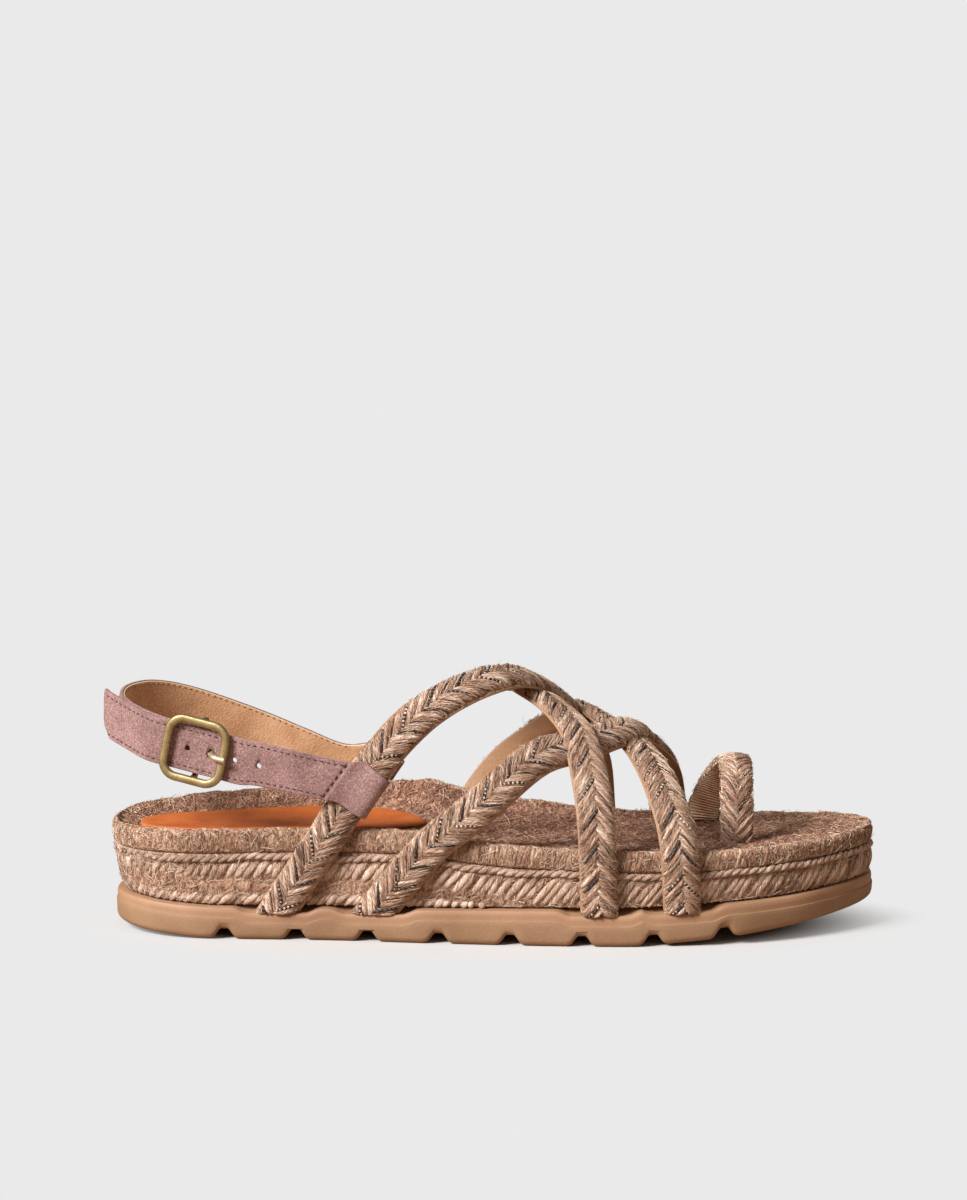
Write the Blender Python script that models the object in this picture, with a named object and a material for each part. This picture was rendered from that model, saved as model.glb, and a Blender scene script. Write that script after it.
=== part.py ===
"""Right-foot flat sandal: rubber outsole, jute platform, braided straps and a suede heel strap.

Sizes are in millimetres. +X runs to the toe, +Y to the inner side of the foot, +Z up.
"""
import math
from collections import namedtuple

import bmesh
import bpy
import numpy as np

MM = 0.001
GAP = 0.3
UP = np.array((0.0, 0.0, 1.0))
INNER = np.array((0.0, 1.0, 0.0))

# Middle of the finished shoe's box in the frame the tables below are written in
BOX_MIDDLE = (-1.545, -0.205)

# Faces that meet at less than this angle are shaded as one curve
SMOOTH_ANGLE = math.radians(35.0)

# Sole outline and heights
HEEL_END = -126.6
TOE_END = 127.5
HEEL_ROUND = 36.0
TOE_ROUND = 46.0
HEEL_POWER = 2.15
TOE_POWER = 2.3
END_TURNS = np.radians((13.0, 27.0, 42.0, 58.0, 75.0))
STATION_CLEAR = 2.0
SPRING_START = 42.0
TOE_SPRING = 8.3
SPRING_POWER = 1.35
HEEL_SPRING_START = -86.0
HEEL_SPRING = 2.4
HEEL_SPRING_POWER = 1.6

SoleRow = namedtuple("SoleRow", "along centre lateral medial rim_lateral rim_medial dish ledge top_band")
SOLE = [
    SoleRow(-127, 0.0, -29.5, 29.5, 36.2, 36.8, 2.0, 10.6, 8.0),
    SoleRow(-90, 0.0, -30.2, 30.8, 36.9, 40.0, 4.2, 10.8, 8.3),
    SoleRow(-55, -0.6, -32.4, 31.2, 37.6, 42.0, 4.0, 11.0, 8.3),
    SoleRow(-24, -2.4, -37.2, 31.4, 37.4, 43.8, 2.8, 11.4, 8.0),
    SoleRow(-10, -2.8, -39.0, 32.6, 34.6, 40.6, 2.2, 11.6, 7.6),
    SoleRow(10, -2.4, -41.4, 35.2, 32.7, 36.6, 2.0, 11.9, 7.3),
    SoleRow(42, -1.0, -43.5, 41.2, 31.4, 31.6, 2.0, 12.2, 7.0),
    SoleRow(70, 2.0, -41.4, 43.5, 31.0, 30.4, 2.0, 11.6, 6.6),
    SoleRow(96, 5.5, -34.0, 42.6, 32.0, 30.6, 1.8, 10.2, 6.4),
    SoleRow(128, 8.0, -20.0, 40.0, 33.2, 33.0, 1.0, 8.6, 6.2),
]

# How far the jute stands from the rubber's outline at its rim, and how much it narrows below
JuteRow = namedtuple("JuteRow", "along rim taper")
JUTE_SIDE = [
    JuteRow(-127, 0.9, 3.2),
    JuteRow(-100, -0.8, 2.4),
    JuteRow(-60, -1.5, 1.9),
    JuteRow(70, -1.5, 1.9),
    JuteRow(110, -1.2, 1.0),
    JuteRow(128, -0.6, 0.4),
]

# Rubber side, from the tread's edge up over the step and the lip to the ledge's inner edge
SideRow = namedtuple("SideRow", "out level rise")
RUBBER_SIDE = [
    SideRow(-2.0, "tread", 0.0),
    SideRow(-0.8, "tread", 0.5),
    SideRow(0.2, "tread", 1.9),
    SideRow(0.35, "lip", -3.8),
    SideRow(0.0, "lip", -3.3),
    SideRow(0.0, "lip", -0.9),
    SideRow(-1.0, "lip", 0.0),
    SideRow(-4.6, "lip", 0.0),
    SideRow(-7.0, "ledge", -0.4),
]

# Grooves across the tread
GROOVE_FIRST = -89.5
GROOVE_PITCH = 23.65
GROOVE_COUNT = 8
GrooveRow = namedtuple("GrooveRow", "offset depth")
GROOVE = [
    GrooveRow(-5.4, 0.0),
    GrooveRow(-3.3, 0.8),
    GrooveRow(-1.2, 3.4),
    GrooveRow(1.2, 3.4),
    GrooveRow(3.3, 0.8),
    GrooveRow(5.4, 0.0),
]

# The ledge sinks where a strap is tucked in
DIP = 1.7
DIP_FLAT = 9.5
DIP_END = 15.0

# Ribs on the jute, as fractions of each layer's height
RibRow = namedtuple("RibRow", "level bulge")
PLATFORM_RIBS = [
    RibRow(0.0, -0.5),
    RibRow(0.08, 0.6),
    RibRow(0.26, 0.9),
    RibRow(0.42, 0.4),
    RibRow(0.48, -0.6),
    RibRow(0.54, 0.4),
    RibRow(0.70, 0.8),
    RibRow(0.82, 0.2),
    RibRow(0.86, -0.6),
    RibRow(0.93, 0.9),
    RibRow(1.0, -0.4),
]
FOOTBED_RIBS = [
    RibRow(0.0, -0.3),
    RibRow(0.14, 0.7),
    RibRow(0.5, 1.0),
    RibRow(0.86, 0.7),
    RibRow(1.0, -0.5),
]
RIB_MOST = 1.0
LAYER_SPACING = 10.0
DISH_POWER = 3.2
ARCH_POWER = 3.2
ACROSS = (0.07, 0.18, 0.34, 0.5, 0.66, 0.82, 0.93)

# Heel sock
SOCK_REAR = -118.5
SOCK_FRONT = -25.0
SOCK_ACROSS = -3.5
SOCK_HALF_WIDTH = 18.5
SOCK_POWER = 2.6
SOCK_SKEW = 0.55
SOCK_THICK = 1.1
SOCK_TURNS = 30
SOCK_LEVELS = (1.0, 0.8, 0.55, 0.28)

# Instep that the straps lie on
RidgeRow = namedtuple("RidgeRow", "along height")
RIDGE = [
    RidgeRow(-75, 91.0),
    RidgeRow(-45, 89.0),
    RidgeRow(-16, 85.2),
    RidgeRow(0, 81.8),
    RidgeRow(15, 76.4),
    RidgeRow(28, 69.8),
    RidgeRow(48, 60.5),
    RidgeRow(62, 55.5),
    RidgeRow(80, 50.0),
]
WALL_GIRTH = 30.0
STRAP_CLEAR = 0.6
STRAP_SEAT = 0.4
PATH_SAMPLES = 161

# Each strap runs round the foot: girth is 0 at the outer rim, 90 on the ridge, 180 at the inner rim
StrapRow = namedtuple("StrapRow", "girth along lift")
OVER = 3.1
UNDER = -0.7
STRAPS = {
    "strap_outer_rear": [
        StrapRow(-30, -72, 0), StrapRow(0, -54, 0), StrapRow(17, -44, 0), StrapRow(37, -31, 1.2),
        StrapRow(54, -18, 3.2), StrapRow(69, -4, 5.0), StrapRow(82, 5, 4.4), StrapRow(92.5, 11.5, OVER),
        StrapRow(107, 21.8, 0.8),
        StrapRow(120, 27.5, UNDER), StrapRow(140, 32, 0), StrapRow(160, 34.5, 0), StrapRow(180, 35.5, 0),
        StrapRow(210, 37, 0),
    ],
    "strap_outer_waist": [
        StrapRow(-30, -39.8, 0), StrapRow(0, -17.4, 0), StrapRow(20, -0.4, 0), StrapRow(40, 14, 0),
        StrapRow(56, 27, UNDER), StrapRow(74, 37, 0.8), StrapRow(90, 44, OVER), StrapRow(106, 49.5, 0.8),
        StrapRow(122, 53.5, 0), StrapRow(150, 58, 0), StrapRow(180, 60, 0), StrapRow(210, 61, 0),
    ],
    "strap_outer_ball": [
        StrapRow(-30, 34.8, 0), StrapRow(0, 34.2, 0), StrapRow(25, 33, 0), StrapRow(40, 31, 0.9),
        StrapRow(56, 27, OVER), StrapRow(74, 20.5, 0.9), StrapRow(92.5, 11.5, UNDER), StrapRow(109, 0, 0),
        StrapRow(126, -9.5, 0), StrapRow(146, -24, 0), StrapRow(160, -33, 0), StrapRow(180, -44, 0),
        StrapRow(210, -57.5, 0),
    ],
    "strap_outer_front": [
        StrapRow(-30, 62, 0), StrapRow(0, 61, 0), StrapRow(20, 59.5, 0), StrapRow(45, 55.5, 0),
        StrapRow(70, 50, 0), StrapRow(90, 44, UNDER), StrapRow(105, 36, 0.9), StrapRow(120, 27.5, OVER),
        StrapRow(135, 20.5, 0.9), StrapRow(150, 13, 0), StrapRow(165, 4, 0), StrapRow(180, -3.5, 0),
        StrapRow(210, -16.5, 0),
    ],
}
# Which way the braid's arrows point along each strap
ARROWS = {
    "strap_outer_rear": -1.0,
    "strap_outer_waist": -1.0,
    "strap_outer_ball": 1.0,
    "strap_outer_front": 1.0,
}
BRAID_HALF = 6.0
BRAID_CROWN = 4.2
STRIP_PITCH = 6.4
STRIP_RISE = 0.75
STRIP_ANGLE = math.radians(40.0)
END_REACH = 17.0
END_THIN = 0.72
PRESSED_FLAT = 1.6
SectionRow = namedtuple("SectionRow", "side height strip")
BRAID_SECTION = [
    SectionRow(-0.94, 0.0, 0.0),
    SectionRow(-1.0, 0.42, 0.35),
    SectionRow(-0.58, 0.86, 1.0),
    SectionRow(0.0, 1.0, 1.0),
    SectionRow(0.58, 0.86, 1.0),
    SectionRow(1.0, 0.42, 0.35),
    SectionRow(0.94, 0.0, 0.0),
]

# Toe loop
LOOP_NEAR = (81.0, -13.0)
LOOP_FAR = (71.0, 28.0)
LOOP_RISE = 23.2
LOOP_SEAT = 0.5
LOOP_NEAR_POWER = 3.4
LOOP_FAR_POWER = 1.8
LOOP_TURN_POWER = 1.2
LOOP_LEAN_POWER = 1.5
LOOP_SCALE = 0.78
LOOP_HALF = 5.6
LOOP_SAMPLES = 73

# Suede straps. Each ends in a sleeve: over a braid's outer face, round its front edge, to the inner face
SUEDE_HALF = 7.7
SUEDE_THICK = 1.8
SKIVED = 1.2
OUTER_SLEEVE_HALF = 7.6
INNER_SLEEVE_HALF = 4.3
SLEEVE_CLEAR = 0.5
RIBBON_STEPS = 3
SleeveRow = namedtuple("SleeveRow", "side face rise")
SLEEVE_SECTION = [
    SleeveRow(0.35, "crown", 0.0),
    SleeveRow(-0.35, "crown", 0.0),
    SleeveRow(-0.78, "crown", -0.6),
    SleeveRow(-1.0, "crown", -1.9),
    SleeveRow(-1.05, "inner", 2.95),
    SleeveRow(-0.95, "inner", 0.3),
    SleeveRow(-0.6, "inner", 0.0),
    SleeveRow(0.6, "inner", 0.0),
    SleeveRow(0.98, "inner", 0.2),
]
BUCKLE_PLACE = np.array((-98.0, -31.4, 63.9))
BUCKLE_HEADING = math.radians(-14.5)
BUCKLE_FALL = math.radians(-12.0)
OUTER_SLEEVE_GIRTH = 16.0
INNER_SLEEVE_GIRTH = 171.3
PathRow = namedtuple("PathRow", "along across up half", defaults=(SUEDE_HALF,))
FREE_END = [
    PathRow(-128.8, -12.0, 73.2),
    PathRow(-120.6, -20.2, 69.8),
]
OUTER_RUN = [
    PathRow(-77.0, -36.0, 59.9, 7.3),
    PathRow(-65.0, -37.2, 57.4, 7.0),
    PathRow(-53.6, -37.3, 54.9, OUTER_SLEEVE_HALF),
]
HEEL_RUN = [
    PathRow(-119.0, -16.0, 69.0),
    PathRow(-124.2, -4.5, 71.0),
    PathRow(-122.6, 9.0, 72.2),
    PathRow(-115.2, 19.0, 72.0),
    PathRow(-103.6, 26.5, 68.6),
    PathRow(-83.0, 32.4, 60.4),
    PathRow(-66.0, 34.8, 53.8, 6.9),
    PathRow(-53.0, 36.4, 51.3, INNER_SLEEVE_HALF),
]
BUCKLE_FLAT = (-16.0, -8.0, 0.0, 8.0, 16.0)
PRONG_HOLE = 5.35
HOLES = (-3.0, PRONG_HOLE, 13.5, 21.7)
HOLE_RADIUS = 0.95
PRONG_HOLE_RADIUS = 1.7

# Buckle: places are forward along the strap, out from it and up its width
BuckleRow = namedtuple("BuckleRow", "forward out width", defaults=(0.0,))
FRAME_HALF = 11.3
FRAME_BAR = 2.8
FRAME_THICK = 2.2
FRAME_CORNER = 6.4
FRAME_OUT = 2.5
FRAME_TURNS = (0.0, 22.5, 45.0, 67.5, 90.0)
FrameRow = namedtuple("FrameRow", "side depth")
FRAME_SECTION = [
    FrameRow(1.0, 0.0),
    FrameRow(0.62, 1.0),
    FrameRow(-0.62, 1.0),
    FrameRow(-1.0, 0.0),
    FrameRow(-0.62, -1.0),
    FrameRow(0.62, -1.0),
]
FRAME_MIDDLE = FRAME_HALF - FRAME_BAR / 2
BAR_RADIUS = 1.0
BAR_BACK = -4.1
BAR_HALF = [
    BuckleRow(0.0, FRAME_OUT, FRAME_MIDDLE),
    BuckleRow(0.0, BAR_BACK + 2.2, FRAME_MIDDLE),
    BuckleRow(0.0, BAR_BACK + 0.6, FRAME_MIDDLE - 0.4),
    BuckleRow(0.0, BAR_BACK, FRAME_MIDDLE - 1.6),
]
PRONG_RADIUS = 1.0
PRONG_TOP = FRAME_OUT + FRAME_THICK / 2 + GAP + PRONG_RADIUS
PRONG_CURL = (150, 195, 240, 285, 330)
PRONG_RUN = [
    BuckleRow(4.3, -3.2),
    BuckleRow(5.3, -1.4),
    BuckleRow(5.5, 0.8),
    BuckleRow(6.2, 2.9),
    BuckleRow(7.8, PRONG_TOP - 0.2),
    BuckleRow(9.6, PRONG_TOP),
    BuckleRow(11.3, PRONG_TOP - 0.1),
]
ROD_SIDES = 10
PRONG_SIDES = 8
PRONG_STEPS = 2
# A rod that runs closer to the strap's width than this is squared up by the strap's heading
WIDTH_SHARE = 0.7

# The heel strap's end is curled round the buckle's bar, with a slot for the prong
CURL_TAIL = [BuckleRow(-9.5, BAR_BACK - 0.1), BuckleRow(-4.5, BAR_BACK - 0.9)]
CURL_TURNS = (-90, -45, 0, 45, 90)
CURL_LEAD = (-5.0, -14.0)
SLOT_HALF = 1.4
SLOT_CORNERS = [BuckleRow(-3.6, -8.0), BuckleRow(3.6, -8.0), BuckleRow(3.6, -1.0), BuckleRow(-3.6, -1.0)]

Paint = namedtuple("Paint", "red green blue rough metal")
RUBBER = Paint(0.50, 0.30, 0.16, 0.60, 0.0)
JUTE = Paint(0.36, 0.22, 0.13, 0.85, 0.0)
SOCK = Paint(0.58, 0.16, 0.03, 0.55, 0.0)
SUEDE = Paint(0.36, 0.22, 0.21, 0.95, 0.0)
BRASS = Paint(0.33, 0.25, 0.12, 0.35, 1.0)


def clear_scene():
    for thing in list(bpy.data.objects):
        bpy.data.objects.remove(thing, do_unlink=True)


def smooth(keys, values, at):
    """Smooth curve through a column of values that never overshoots them."""
    keys = np.asarray(keys, float)
    values = np.asarray(values, float)
    at = np.clip(np.asarray(at, float), keys[0], keys[-1])
    width = np.diff(keys)
    rise = np.diff(values) / width
    slope = np.concatenate(([rise[0]], np.zeros(len(keys) - 2), [rise[-1]]))
    for i in range(1, len(keys) - 1):
        if rise[i - 1] * rise[i] > 0:
            before = 2 * width[i] + width[i - 1]
            after = width[i] + 2 * width[i - 1]
            slope[i] = (before + after) / (before / rise[i - 1] + after / rise[i])
    i = np.clip(np.searchsorted(keys, at) - 1, 0, len(keys) - 2)
    t = (at - keys[i]) / width[i]
    first = (2 * t ** 3 - 3 * t ** 2 + 1) * values[i] + (3 * t ** 2 - 2 * t ** 3) * values[i + 1]
    return first + width[i] * ((t ** 3 - 2 * t ** 2 + t) * slope[i] + (t ** 3 - t ** 2) * slope[i + 1])


def column(table, name, at):
    """Value of a named table column at a distance along the foot."""
    keys = [row[0] for row in table]
    return smooth(keys, [getattr(row, name) for row in table], at)


def ease(t):
    t = np.clip(t, 0.0, 1.0)
    return t * t * (3 - 2 * t)


def unit(vector):
    return np.asarray(vector, float) / np.linalg.norm(vector)


# Sole outline

def end_factor(along):
    """How much of the full width is left where the heel and toe turn in."""
    heel = np.clip((HEEL_END + HEEL_ROUND - along) / HEEL_ROUND, 0.0, 1.0)
    toe = np.clip((along - TOE_END + TOE_ROUND) / TOE_ROUND, 0.0, 1.0)
    heel_part = (1 - heel ** HEEL_POWER) ** (1 / HEEL_POWER)
    return heel_part * (1 - toe ** TOE_POWER) ** (1 / TOE_POWER)


def side_of_sole(along, side):
    """Across position of the rubber's outline on one side, lateral or medial."""
    centre = column(SOLE, "centre", along)
    return centre + (column(SOLE, side, along) - centre) * end_factor(along)


def stations(places):
    """Distances along the sole: the given places in its middle, and closer ones where the ends turn."""
    heel = HEEL_END + HEEL_ROUND * (1 - np.cos(END_TURNS))
    toe = TOE_END - TOE_ROUND * (1 - np.cos(END_TURNS))
    middle = [x for x in places if heel[-1] + STATION_CLEAR < x < toe[-1] - STATION_CLEAR]
    return np.sort(np.concatenate((heel, middle, toe)))


def layer_stations():
    start = HEEL_END + HEEL_ROUND
    finish = TOE_END - TOE_ROUND
    count = int(round((finish - start) / LAYER_SPACING)) + 1
    return stations(np.linspace(start, finish, count))


def outline(along):
    """Closed outline, heel end first, out along the lateral side and back along the medial side."""
    lateral = np.column_stack((along, side_of_sole(along, "lateral")))
    medial = np.column_stack((along, side_of_sole(along, "medial")))
    heel = (HEEL_END, float(column(SOLE, "centre", HEEL_END)))
    toe = (TOE_END, float(column(SOLE, "centre", TOE_END)))
    points = np.vstack(([heel], lateral, [toe], medial[::-1]))
    tangent = np.roll(points, -1, axis=0) - np.roll(points, 1, axis=0)
    tangent /= np.linalg.norm(tangent, axis=1)[:, None]
    outward = np.column_stack((tangent[:, 1], -tangent[:, 0]))
    return points, outward


def by_side(along, lateral, medial):
    """Values for every outline point, from functions for its two sides."""
    heel = [(lateral(HEEL_END) + medial(HEEL_END)) / 2]
    toe = [(lateral(TOE_END) + medial(TOE_END)) / 2]
    return np.concatenate((heel, lateral(along), toe, medial(along[::-1])))


def spring(along):
    """How far the tread lifts off the floor towards the toe and at the back of the heel."""
    toe = np.clip((along - SPRING_START) / (TOE_END - SPRING_START), 0, 1) ** SPRING_POWER
    heel = np.clip((HEEL_SPRING_START - along) / (HEEL_SPRING_START - HEEL_END), 0, 1) ** HEEL_SPRING_POWER
    return TOE_SPRING * toe + HEEL_SPRING * heel


def groove(along):
    along = np.asarray(along, float)
    depth = np.zeros_like(along)
    for k in range(GROOVE_COUNT):
        middle = GROOVE_FIRST + GROOVE_PITCH * k
        shape = np.interp(along - middle, [row.offset for row in GROOVE], [row.depth for row in GROOVE])
        depth = np.maximum(depth, shape)
    return depth


def ledge(along):
    return spring(along) + column(SOLE, "ledge", along)


def dip(along, end):
    """How far the ledge sinks under the strap ends on one side."""
    feet = [rows[end].along for rows in STRAPS.values()]
    depth = np.zeros_like(np.asarray(along, float))
    for foot in feet:
        away = np.abs(along - foot)
        depth = np.maximum(depth, DIP * (1 - ease((away - DIP_FLAT) / (DIP_END - DIP_FLAT))))
    return depth


def rim(along, side):
    return column(SOLE, "rim_" + side, along)


def split(along, side):
    """Height where the top jute layer lies on the platform."""
    return rim(along, side) - column(SOLE, "top_band", along)


def footbed_edge(along, side):
    """Across position of the footbed's rim."""
    inset = column(JUTE_SIDE, "rim", along) + FOOTBED_RIBS[-1].bulge
    sign = -1 if side == "lateral" else 1
    return side_of_sole(along, side) + sign * inset


def footbed_height(along, across):
    """Top of the footbed: dished in the middle, raised along the inner arch."""
    outer = footbed_edge(along, "lateral")
    inner = footbed_edge(along, "medial")
    share = np.clip((across - outer) / (inner - outer), 0.0, 1.0)
    low = rim(along, "lateral")
    high = rim(along, "medial")
    base = low + (high - low) * share ** ARCH_POWER
    return base - column(SOLE, "dish", along) * (1 - np.abs(2 * share - 1) ** DISH_POWER)


# Mesh building

def make_object(name, vertices, faces, paint):
    """Named object from millimetre points, with its own material."""
    shift = np.array((BOX_MIDDLE[0], BOX_MIDDLE[1], 0.0))
    mesh = bpy.data.meshes.new(name)
    mesh.from_pydata([tuple((np.asarray(v) - shift) * MM) for v in vertices], [], faces)
    shape = bmesh.new()
    shape.from_mesh(mesh)
    bmesh.ops.recalc_face_normals(shape, faces=shape.faces)
    shape.to_mesh(mesh)
    shape.free()
    mesh.shade_smooth()
    mesh.set_sharp_from_angle(angle=SMOOTH_ANGLE)
    thing = bpy.data.objects.new(name, mesh)
    bpy.context.scene.collection.objects.link(thing)
    if paint:
        material = bpy.data.materials.new(name)
        material.use_nodes = True
        shader = material.node_tree.nodes["Principled BSDF"]
        shader.inputs["Base Color"].default_value = (paint.red, paint.green, paint.blue, 1.0)
        shader.inputs["Roughness"].default_value = paint.rough
        shader.inputs["Metallic"].default_value = paint.metal
        mesh.materials.append(material)
    return thing


def cutter(thing):
    thing.hide_render = True
    thing.display_type = "WIRE"
    return thing


def combine(thing, tool, operation):
    step = thing.modifiers.new(tool.name, "BOOLEAN")
    step.operation = operation
    step.object = cutter(tool)
    step.solver = "EXACT"


def join_rings(rings, closed=False):
    """Faces between rings of equal length, with end caps unless the row of rings is closed."""
    size = len(rings[0])
    vertices = [point for ring in rings for point in ring]
    faces = []
    count = len(rings)
    for k in range(count if closed else count - 1):
        here = k * size
        there = ((k + 1) % count) * size
        for i in range(size):
            j = (i + 1) % size
            faces.append((here + i, here + j, there + j, there + i))
    if not closed:
        faces.append(tuple(range(size - 1, -1, -1)))
        faces.append(tuple(range((count - 1) * size, count * size)))
    return vertices, faces


def sole_solid(name, along, rings, top_rows, paint):
    """Solid from closed outlines stacked upward, with sheets drawn straight across bottom and top."""
    size = len(rings[0])
    half = len(along)
    vertices = [point for ring in rings for point in ring]
    faces = []
    for k in range(len(rings) - 1):
        for i in range(size):
            j = (i + 1) % size
            faces.append((k * size + i, k * size + j, (k + 1) * size + j, (k + 1) * size + i))
    lateral = list(range(1, half + 1))
    medial = [size - i for i in lateral]
    toe = half + 1
    sheet([0] + lateral, [0] + medial, [toe], [[] for _ in along], faces, False)
    top = (len(rings) - 1) * size
    inner_rows = []
    for row in top_rows:
        inner_rows.append(list(range(len(vertices), len(vertices) + len(row))))
        vertices.extend(row)
    sheet([top] + [top + i for i in lateral], [top] + [top + i for i in medial], [top + toe],
          inner_rows, faces, True)
    return make_object(name, vertices, faces, paint)


def sheet(lateral, medial, toe, inner_rows, faces, upward):
    """Rows of faces straight across the sole, from its heel point to its toe point."""
    rows = [[lateral[0]]]
    for i in range(1, len(lateral)):
        rows.append([lateral[i]] + inner_rows[i - 1] + [medial[i]])
    rows.append(list(toe))
    for before, after in zip(rows, rows[1:]):
        for i in range(max(len(before), len(after)) - 1):
            corner = [before[min(i, len(before) - 1)], after[min(i, len(after) - 1)]]
            corner += [after[min(i + 1, len(after) - 1)], before[min(i + 1, len(before) - 1)]]
            for half in (corner[:3], [corner[0]] + corner[2:]):
                if len(set(half)) == 3:
                    faces.append(tuple(half if upward else half[::-1]))


# Sole pieces

def ring_at(points, outward, offset, height):
    moved = points + outward * np.asarray(offset, float).reshape(-1, 1)
    return np.column_stack((moved, height))


def make_outsole():
    edges = [GROOVE_FIRST + GROOVE_PITCH * k + row.offset for k in range(GROOVE_COUNT) for row in GROOVE]
    lugs = [GROOVE_FIRST + GROOVE_PITCH * (k + 0.5) for k in range(GROOVE_COUNT)]
    along = stations(sorted(edges + lugs))
    points, outward = outline(along)
    top = by_side(along, ledge, ledge)
    levels = {
        "tread": by_side(along, lambda x: spring(x) + groove(x), lambda x: spring(x) + groove(x)),
        "lip": top - by_side(along, lambda x: dip(x, 0), lambda x: dip(x, -1)),
        "ledge": top,
    }
    rings = []
    for row in RUBBER_SIDE:
        rings.append(ring_at(points, outward, np.full(len(points), row.out), levels[row.level] + row.rise))
    return sole_solid("outsole", along, rings, [[] for _ in along], RUBBER)


def layer_rings(along, ribs, low, high, level_taper):
    """Outlines of one jute layer between two heights, with its ribs."""
    points, outward = outline(along)
    rim_offset = by_side(along, lambda x: column(JUTE_SIDE, "rim", x), lambda x: column(JUTE_SIDE, "rim", x))
    taper = by_side(along, lambda x: column(JUTE_SIDE, "taper", x), lambda x: column(JUTE_SIDE, "taper", x))
    rings = []
    for row in ribs:
        height = low + (high - low) * row.level
        offset = rim_offset + row.bulge - taper * level_taper * (1 - row.level)
        rings.append(ring_at(points, outward, offset, height))
    return rings


def make_platform():
    along = layer_stations()
    low = by_side(along, ledge, ledge) + GAP
    high = by_side(along, lambda x: split(x, "lateral"), lambda x: split(x, "medial"))
    rings = layer_rings(along, PLATFORM_RIBS, low, high, 1.0)
    return sole_solid("jute_platform", along, rings, [[] for _ in along], JUTE)


def make_footbed():
    along = layer_stations()
    low = by_side(along, lambda x: split(x, "lateral"), lambda x: split(x, "medial")) + GAP
    high = by_side(along, lambda x: rim(x, "lateral"), lambda x: rim(x, "medial"))
    rings = layer_rings(along, FOOTBED_RIBS, low, high, 0.0)
    top = rings[-1]
    rows = []
    for i, x in enumerate(along):
        outer = top[i + 1]
        inner = top[len(top) - 1 - i]
        row = []
        for share in ACROSS:
            spot = outer + (inner - outer) * share
            row.append((spot[0], spot[1], float(footbed_height(x, spot[1]))))
        rows.append(row)
    return sole_solid("jute_footbed", along, rings, rows, JUTE)


def make_sock():
    """Thin oval leather sheet that follows the dished heel."""
    middle = (SOCK_REAR + SOCK_FRONT) / 2
    reach = (SOCK_FRONT - SOCK_REAR) / 2
    top = []
    for level in SOCK_LEVELS:
        ring = []
        for k in range(SOCK_TURNS):
            angle = 2 * math.pi * k / SOCK_TURNS
            cosine = math.cos(angle)
            sine = math.sin(angle)
            u = math.copysign(abs(cosine) ** (2 / SOCK_POWER), cosine) * level
            v = math.copysign(abs(sine) ** (2 / SOCK_POWER), sine) * level
            across = SOCK_HALF_WIDTH * v + SOCK_ACROSS
            along = middle + reach * u - SOCK_SKEW * SOCK_HALF_WIDTH * v * max(u, 0.0)
            ring.append((along, across, float(footbed_height(along, across)) + 2 * GAP))
        top.append(np.array(ring))
    lift = np.array((0.0, 0.0, SOCK_THICK))
    rings = top[::-1] + [ring + lift for ring in top]
    vertices, faces = join_rings(rings)
    return make_object("heel_sock", vertices, faces, SOCK)


# Braided bands

def wall_edge(along, side):
    """Across position of the straps' inner face at the rim."""
    offset = column(JUTE_SIDE, "rim", along) + RIB_MOST + STRAP_CLEAR
    sign = -1 if side == "lateral" else 1
    return side_of_sole(along, side) + sign * offset


def instep_point(along, girth):
    """Point of the surface the straps lie on, by distance along the foot and place round it."""
    outer = float(wall_edge(along, "lateral"))
    inner = float(wall_edge(along, "medial"))
    low = float(rim(along, "lateral"))
    high = float(rim(along, "medial"))
    foot = float(ledge(along)) - DIP + STRAP_SEAT
    taper = float(column(JUTE_SIDE, "taper", along))
    if girth < 0:
        t = -girth / WALL_GIRTH
        return np.array((along, outer + taper * t, low + (foot - low) * t))
    if girth > 180:
        t = (girth - 180) / WALL_GIRTH
        return np.array((along, inner - taper * t, high + (foot - high) * t))
    turn = math.radians(girth)
    base = low + (high - low) * (1 - math.cos(turn)) / 2
    middle = (outer + inner) / 2
    half = (inner - outer) / 2
    ridge = float(column(RIDGE, "height", along))
    return np.array((along, middle - half * math.cos(turn), base + (ridge - base) * math.sin(turn)))


def instep_normal(along, girth):
    """Outward direction of the instep surface."""
    step = 2.0
    ahead = instep_point(along + step, girth) - instep_point(along - step, girth)
    round_foot = instep_point(along, girth + step) - instep_point(along, girth - step)
    return unit(np.cross(ahead, round_foot))


Path = namedtuple("Path", "reach places tangents normals lifts")


def make_path(places, normals, lifts):
    places = np.array(places)
    reach = np.concatenate(([0.0], np.cumsum(np.linalg.norm(np.diff(places, axis=0), axis=1))))
    tangents = np.gradient(places, reach, axis=0)
    tangents /= np.linalg.norm(tangents, axis=1)[:, None]
    normals = np.array(normals)
    normals = normals - tangents * np.sum(normals * tangents, axis=1)[:, None]
    normals /= np.linalg.norm(normals, axis=1)[:, None]
    return Path(reach, places, tangents, normals, np.array(lifts))


def on_path(path, distance):
    """Place, tangent, normal and lift at a distance along a path, straight on beyond its ends."""
    inside = min(max(distance, 0.0), path.reach[-1])
    place = np.array([np.interp(inside, path.reach, path.places[:, i]) for i in range(3)])
    tangent = unit([np.interp(inside, path.reach, path.tangents[:, i]) for i in range(3)])
    normal = unit([np.interp(inside, path.reach, path.normals[:, i]) for i in range(3)])
    lift = float(np.interp(inside, path.reach, path.lifts))
    return place + tangent * (distance - inside), tangent, normal, lift


def strap_path(rows):
    girths = np.linspace(rows[0].girth, rows[-1].girth, PATH_SAMPLES)
    keys = [row.girth for row in rows]
    along = smooth(keys, [row.along for row in rows], girths)
    lifts = smooth(keys, [row.lift for row in rows], girths)
    places = [instep_point(x, g) for x, g in zip(along, girths)]
    normals = [instep_normal(x, g) for x, g in zip(along, girths)]
    return make_path(places, normals, lifts)


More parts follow.
